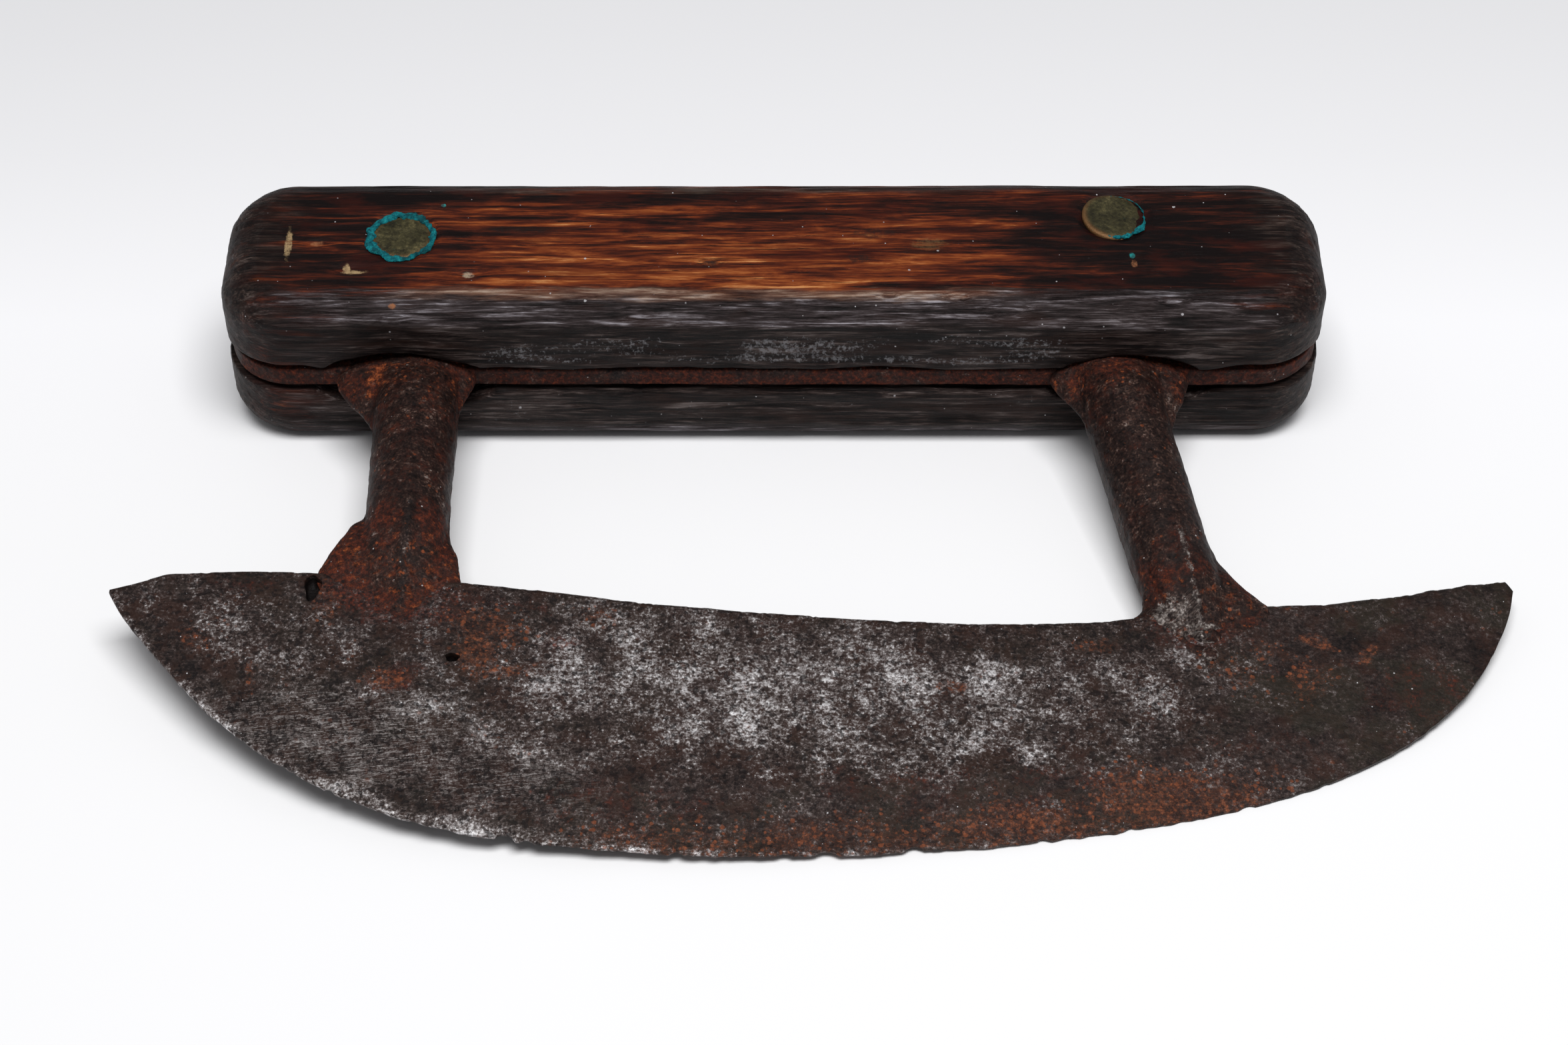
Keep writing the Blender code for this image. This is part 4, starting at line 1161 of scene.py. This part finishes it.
def shape_scale(scale, size, side, rivets):
    """Warps a scale's smooth solid into worn, cracked wood."""
    points, normals = read_points(scale), read_normals(scale)
    u, v, w = points.T
    height = w * side
    past = distance_past_face(points, size, side)
    near_inner = fade(7.5, 2.5, height)
    front = fade(-8.0, -13.0, v)
    lift = np.zeros(len(points))
    for centre, reach, rise in ARCHES:
        wide = reach + (0.0 if side > 0 else 2.0)
        lift += rise * np.maximum(1 - ((u - centre) / wide) ** 2, 0.0) ** 0.8
    if side > 0:
        lift += 0.5 * fade(-66.0, -70.0, u) * fade(-80.5, -74.0, u)
        lift += 0.75 * fade(63.0, 68.0, u)
    wavy = 0.22 * (1 + noise(points * (1, 0, 0), (6.5, 1, 1), 4, 301 + side))
    lift = (lift + wavy) * front * near_inner
    inner = BAR_THICKNESS / 2
    points[:, 2] += side * lift * fade(inner - 1.0, inner + 0.2, height)

    on_face = fade(1.2, -0.6, past)
    wall = fade(6.0, 9.0, past)
    grain = noise(points, (16.0, 0.8, 0.8), 3, 310 + side)
    fine = noise(points, (7.0, 0.45, 0.45), 2, 315 + side)
    coarse = noise(points, (30.0, 2.4, 2.4), 2, 320 + side)
    crack = np.maximum(noise(points, (24.0, 0.8, 0.8), 2, 330 + side) - 0.5, 0.0)
    body = 0.25 * noise(points, 34.0, 2, 340 + side)
    strong = 1 - 0.75 * on_face - 0.25 * wall
    relief = body + strong * (0.13 * grain + 0.07 * fine + 0.14 * coarse - 0.6 * crack)
    end = fade(size[0] / 2 - 12.0, size[0] / 2 - 5.0, np.abs(u))
    chipped = np.maximum(noise(points, (9.0, 2.6, 2.6), 3, 350 + side) - 0.2, 0.0)
    relief = relief * (1 - 0.6 * end) - wall * (1 - end) * 0.3 * chipped
    for centre_u, centre_v, _ in rivets:
        distance = np.hypot(u - centre_u, v - centre_v)
        relief -= 0.35 * fade(6.0, 4.9, distance) * fade(12.5, 13.5, height)
    if side > 0:
        for centre_u, centre_v, reach, depth in NOTCHES:
            distance = np.hypot((u - centre_u) / 2.4, v - centre_v) / reach
            relief -= 0.8 * depth * fade(1.5, 0.0, distance) * fade(8.0, 10.0, height)
    points += normals * np.minimum(relief - 0.12, 0.0)[:, None]
    write_points(scale, points)


def paint_scale(scale, smooth, size, side):
    """Where the wood is rubbed to amber, sooty or powdery. smooth holds the points from before the warp."""
    u, v, w = smooth.T
    height = w * side
    past = distance_past_face(smooth, size, side)
    wobble = noise(smooth, (24.0, 3.0, 3.0), 3, 401)
    middle = fade(-66.0, -34.0, u + 9 * wobble) * fade(52.0, 14.0, u + 10 * wobble)
    glow = fade(5.0, -9.0, v + 2.5 * wobble) * fade(-60.0, -36.0, u) * fade(38.0, 14.0, u)
    worn = 0.19 + 0.03 * fade(-40.0, -55.0, u) + 0.2 * middle + 0.34 * glow * (0.7 + 0.3 * wobble)
    worn -= 0.06 * fade(2.0, 9.0, v) + 0.03 * fade(28.0, 44.0, u)
    end = fade(size[0] / 2 - 13.0, size[0] / 2 - 4.0, np.abs(u) + 2.5 * wobble)
    wall = fade(4.6, 6.6, past + 0.8 * wobble)
    back = fade(6.0, 12.5, v + 1.5 * wobble) * fade(-2.0, 2.0, past)
    right = 0.4 * fade(15.0, 50.0, u) * fade(1.0, 3.0, past)
    sooty = np.maximum.reduce([0.95 * wall, 0.88 * end, 0.4 * back, right])
    sooty -= 0.45 * wall * fade(-62.0, -72.0, u) * fade(-80.0, -74.0, u)
    band = fade(2.2, 4.0, height) * fade(10.5, 7.5, height) * fade(-12.0, -15.0, v)
    haze = fade(-0.7, 0.3, noise(smooth, (10.0, 3.0, 3.0), 3, 410))
    dusty = 0.66 * band * haze * fade(-48.0, -38.0, u) * fade(47.0, 40.0, u)
    dusty = np.maximum(dusty, 0.3 * end * haze * fade(1.0, 4.0, past))
    if side < 0:
        dusty *= 0.35
    rolled = fade(size[0] / 2 - 18.0, size[0] / 2 - 6.0, np.abs(u) + 3.0 * wobble)
    rolled = np.maximum(rolled, fade(-6.0, 2.0, v))
    paint(scale, worn=worn, sooty=sooty, dusty=dusty, rolled=rolled, over_edge=(past + EDGE_LEAD) / EDGE_SPAN)


def make_scale(name, size, side, gap, rivets, frame, wood):
    """side is 1 for the upper scale and -1 for the lower one."""
    scale = make_piece(name, scale_rings(size, side, gap), frame, wood, capped=False)
    smooth = read_points(scale)
    shape_scale(scale, size, side, rivets)
    paint_scale(scale, smooth, size, side)
    return scale


def make_bar(size, frame, iron):
    half = BAR_THICKNESS / 2
    profile = [(BAR_INSET + 0.25, -half), (BAR_INSET, -half + 0.25)]
    profile += [(BAR_INSET, height) for height in np.linspace(-half + 0.6, half - 0.6, 6)]
    profile += [(BAR_INSET, half - 0.25), (BAR_INSET + 0.25, half)]
    rings = slab_rings(size, profile)
    rings = close_face(rings[0], size, 8)[::-1] + rings + close_face(rings[-1], size, 8)
    bar = make_piece("handle_bar_iron", rings, frame, iron, capped=False)
    points = read_points(bar)
    relief = 0.10 * noise(points, (9.0, 3.0, 2.0), 2, 501) + 0.05 * noise(points, (2.0, 1.0, 1.0), 3, 503)
    push_out(bar, relief - 0.1)
    points = read_points(bar)
    paint(bar, bare=0.1, orange=0.18, red=0.8 + 0.2 * noise(points, 8.0, 2, 505), scratched=0.0)
    return bar


# ---------------------------------------------------------------- rivets and pins


def turned_rings(profile, centre, around=96):
    """Circles about w: (radius, height) pairs in millimetres."""
    angles = np.linspace(0, 2 * math.pi, around, endpoint=False)
    circle = np.column_stack([np.cos(angles), np.sin(angles)])
    return [at_height(circle * radius, height) + (centre[0], centre[1], 0.0) for radius, height in profile]


def make_rivet_half(name, centre, outer, side, shank, head, frame, brass):
    """One half of a rivet: a scuffed head (radius, tilt) on its shank (radius, where it ends)."""
    shank_radius, shank_end = shank
    head_radius, tilt = head
    top = outer - 0.05
    crown = [(head_radius * r, top - 0.12 * r**4) for r in np.linspace(0.04, 0.93, 22)]
    rim = [(head_radius * 0.975, top - 0.2), (head_radius, top - 0.36), (head_radius, top - 0.9)]
    stem = [(head_radius - 0.3, top - 1.0), (shank_radius, top - 1.0), (shank_radius, shank_end)]
    piece = make_piece(name, turned_rings(crown + rim + stem, centre), frame, brass)
    points, normals = read_points(piece), read_normals(piece)
    relative = points - (centre[0], centre[1], top)
    distance = np.hypot(relative[:, 0], relative[:, 1])
    on_head = fade(top - 2.5, top - 1.2, points[:, 2])
    relief = 0.07 * noise(points, 1.8, 3, 601) - 0.10 * np.maximum(noise(points, 3.0, 2, 603), 0.0)
    points += normals * (relief * on_head)[:, None]
    points[:, :2] += relative[:, :2] * (0.018 * noise(points, 2.5, 2, 605) * on_head)[:, None]
    points[:, 2] -= relative[:, 0] * math.tan(tilt) * on_head
    rim_mask = fade(0.78, 0.97, distance / head_radius) * on_head
    rim_mask *= 0.35 + (0.65 if tilt else 0.25) * fade(0.0, -4.0, relative[:, 0] + relative[:, 1])
    points[:, 2] *= side
    if side < 0:
        piece.data.flip_normals()
    write_points(piece, points)
    paint(piece, rim=rim_mask)
    return piece


def make_verdigris_ring(name, centre, outer, frame, salt, fullness):
    """A crumbly ring of copper salt round a rivet's head. fullness gives its width by angle."""
    angles = np.linspace(0, 2 * math.pi, VERDIGRIS_AROUND, endpoint=False)
    circle = RIVET_HEAD_RADIUS * np.column_stack([np.cos(angles), np.sin(angles), 0 * angles])
    full = np.array([fullness(a) for a in angles])
    inner = RIVET_HEAD_RADIUS - 0.1 - 0.3 * full * (1 + noise(circle, 0.9, 3, 703))
    width = full * (1.0 + 0.35 * noise(circle, 1.2, 4, 701))
    width = np.maximum(width + RIVET_HEAD_RADIUS - inner - 0.35, 0.05)
    rings = []
    for across in np.linspace(0, 2 * math.pi, 22, endpoint=False):
        radial = inner + width * (0.5 - 0.5 * np.cos(across))
        lift = np.minimum(width, 0.55) * np.sin(across) * (0.55 if across < math.pi else 0.2)
        ring = np.column_stack([radial * np.cos(angles), radial * np.sin(angles), outer - 0.2 + lift])
        rings.append(ring + (centre[0], centre[1], 0.0))
    rings.append(rings[0])
    piece = make_piece(name, rings, frame, salt, capped=False)
    points, normals = read_points(piece), read_normals(piece)
    crumbs = 0.12 * noise(points, 0.7, 3, 705) + 0.1 * np.maximum(noise(points, 0.45, 1, 707), 0.0)
    points += normals * crumbs[:, None]
    points[:, 2] = np.minimum(points[:, 2], outer + 0.25)
    write_points(piece, points)
    return piece


def make_foot_pin(name, centre, frame, iron, reach):
    """A small iron pin, its ends hammered round."""
    angles = np.linspace(0.06, 1.5, 12)
    dome = [(FOOT_PIN_RADIUS * math.sin(a), reach - 0.45 * (1 - math.cos(a))) for a in angles]
    profile = dome + [(FOOT_PIN_RADIUS, reach - 0.6)]
    profile += [(radius, -height) for radius, height in profile[::-1]]
    pin = make_piece(name, turned_rings(profile, centre, 40), frame, iron)
    forge_surface(pin, 801, 0.35)
    distance = np.linalg.norm(read_points(pin)[:, :2] - centre[:2], axis=1)
    rim = fade(0.5, 1.0, distance / FOOT_PIN_RADIUS)
    paint(pin, bare=0.25 + 0.5 * rim, orange=0.15, red=0.45, scratched=0.0)
    return pin


# ---------------------------------------------------------------- studio


def add_camera(handle_centre):
    camera = bpy.data.objects.new("camera", bpy.data.cameras.new("camera"))
    camera.data.sensor_width = SENSOR_WIDTH
    camera.data.lens = CAMERA_LENS
    camera.data.clip_start = 0.01
    target = Vector((handle_centre[0] + CAMERA_TARGET[0], handle_centre[1] + CAMERA_TARGET[1], 0.0))
    back = Vector((0.0, -math.cos(CAMERA_PITCH), math.sin(CAMERA_PITCH)))
    camera.location = target + back * CAMERA_DISTANCE
    camera.rotation_euler = (math.pi / 2 - CAMERA_PITCH, 0.0, 0.0)
    bpy.context.scene.collection.objects.link(camera)
    bpy.context.scene.camera = camera


def add_softbox():
    lamp = bpy.data.lights.new("overhead", "AREA")
    lamp.shape = "RECTANGLE"
    lamp.size, lamp.size_y = SOFTBOX_SIZE
    lamp.energy = SOFTBOX_POWER
    holder = bpy.data.objects.new("overhead", lamp)
    holder.location = SOFTBOX_PLACE
    direction = Vector(SOFTBOX_AIM) - Vector(SOFTBOX_PLACE)
    holder.rotation_euler = direction.to_track_quat("-Z", "Y").to_euler()
    bpy.context.scene.collection.objects.link(holder)


def add_world():
    world = bpy.data.worlds.new("studio")
    bpy.context.scene.world = world
    world.use_nodes = True
    background = world.node_tree.nodes["Background"]
    background.inputs["Color"].default_value = WORLD_COLOUR
    background.inputs["Strength"].default_value = WORLD_STRENGTH


def make_floor_white():
    """Nearly white, a little darker towards the back: painted light falloff."""
    f = Finish("floor_white")
    away = f.node("SeparateXYZ", {0: f.place}, 1)
    # Painted light falloff: the floor's tone along y.
    f.colour = f.node("MapRange", {"Value": away, "From Min": -100.0, "From Max": 300.0}).ramp(
        (0.0, 239, 239, 240), (0.26, 244, 244, 245), (0.4, 248, 248, 250), (0.52, 240, 240, 242),
        (0.62, 236, 236, 238), (1.0, 226, 226, 228),
    )
    distance = f.vector("LENGTH", f.place, (0.0, 0.0, 0.0), "Value")
    f.connect(f.shader, "Emission Color", (1.0, 1.0, 1.0, 1.0))
    f.connect(f.shader, "Emission Strength", distance.rise(*FAR_FLOOR) * FAR_FLOOR_GLOW)
    return f.finish(0.8, 0.0, f.bump(f.ragged, 0.001))


def add_floor():
    mesh = bpy.data.meshes.new("floor")
    reach = FLOOR_HALF_SIZE
    corners = [(-reach, -reach, 0.0), (reach, -reach, 0.0), (reach, reach, 0.0), (-reach, reach, 0.0)]
    mesh.from_pydata(corners, [], [(0, 1, 2, 3)])
    floor = bpy.data.objects.new("floor", mesh)
    bpy.context.scene.collection.objects.link(floor)
    mesh.materials.append(make_floor_white())
    settle(floor)
    floor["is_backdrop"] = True


# ---------------------------------------------------------------- the knife


def stand_for(piece, slot, *nodes):
    settle(piece)
    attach(piece, "root")
    if nodes:
        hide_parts(*nodes)


def all_round(angle):
    """How wide the left rivet's ring of verdigris is at an angle."""
    return 1.05 + 0.2 * math.cos(angle - math.radians(150))


def near_side(angle):
    """How wide the right rivet's crescent of verdigris is at an angle."""
    return 0.85 * max(math.cos(angle - math.radians(-52)), 0.0) ** 2


def add_rivets(places, outer, frame, brass):
    """Two rivets, each a stud with the visible head and a sleeve with the head below."""
    stud = (STUD_RADIUS, STUD_END - outer)
    sleeve = (SLEEVE_RADIUS, SLEEVE_END - outer)
    flat_head = (RIVET_HEAD_RADIUS, 0.0)
    lifted_head = (LIFTED_HEAD_RADIUS, LIFTED_HEAD_TILT)
    for name, side, half, shank, head in (
        ("left", 1, "stud", stud, flat_head), ("left", -1, "sleeve", sleeve, flat_head),
        ("right", 1, "stud", stud, lifted_head), ("right", -1, "sleeve", sleeve, flat_head),
    ):
        node = f"{name}_rivet_{half}"
        piece = make_rivet_half(f"{node}_brass", places[name], outer, side, shank, head, frame, brass)
        stand_for(piece, "tarnished_brass", node)


def build():
    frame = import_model()
    nodes = frame["nodes"]
    handle = handle_frame_from(frame["record"])
    blade_frame = handle @ Matrix.Rotation(BLADE_TWIST, 4, "Y")
    bpy.context.scene.view_settings.view_transform = "Standard"
    add_camera(handle.translation)
    add_world()
    add_softbox()
    add_floor()

    blade_iron = make_blade_iron("blade_patina")
    forged_iron = make_forged_iron("forged_iron")
    low, high = size_in_frame(nodes["upper_scale"], handle)
    size = (high[0] - low[0], high[1] - low[1], 2 * high[2])
    outer = size[2] / 2
    rivet_places = {s: centre_in_frame(nodes[f"{s}_rivet_stud"], handle) for s in ("left", "right")}

    stand_for(make_blade(blade_frame, blade_iron), "worn_iron", "blade")
    stand_for(make_left_post(handle, forged_iron), "rusty_iron", "left_post")
    stand_for(make_right_post(handle, forged_iron), "rusty_iron", "right_post")
    stand_for(make_bar(size, handle, forged_iron), "rusty_iron", "handle_bar")
    rivets = list(rivet_places.values())
    for node, side, gap, wood in (
        ("upper_scale", 1, UPPER_GAP, make_wood("old_hardwood", UPPER_MARKS)),
        ("lower_scale", -1, LOWER_GAP, make_wood("old_hardwood_below", [])),
    ):
        stand_for(make_scale(f"{node}_wood", size, side, gap, rivets, handle, wood), "old_wood", node)
    add_rivets(rivet_places, outer, handle, make_brass("dull_brass"))
    salt = make_verdigris("verdigris")
    for name, fullness in (("left", all_round), ("right", near_side)):
        ring = make_verdigris_ring(f"{name}_verdigris", rivet_places[name], outer, handle, salt, fullness)
        stand_for(ring, "tarnished_brass")
    for name, reach in FOOT_PIN_REACH.items():
        node = f"{name}_foot_pin"
        place = centre_in_frame(nodes[node], blade_frame)
        stand_for(make_foot_pin(f"{node}_iron", place, blade_frame, forged_iron, reach), "rusty_iron", node)

    low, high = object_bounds()


build()
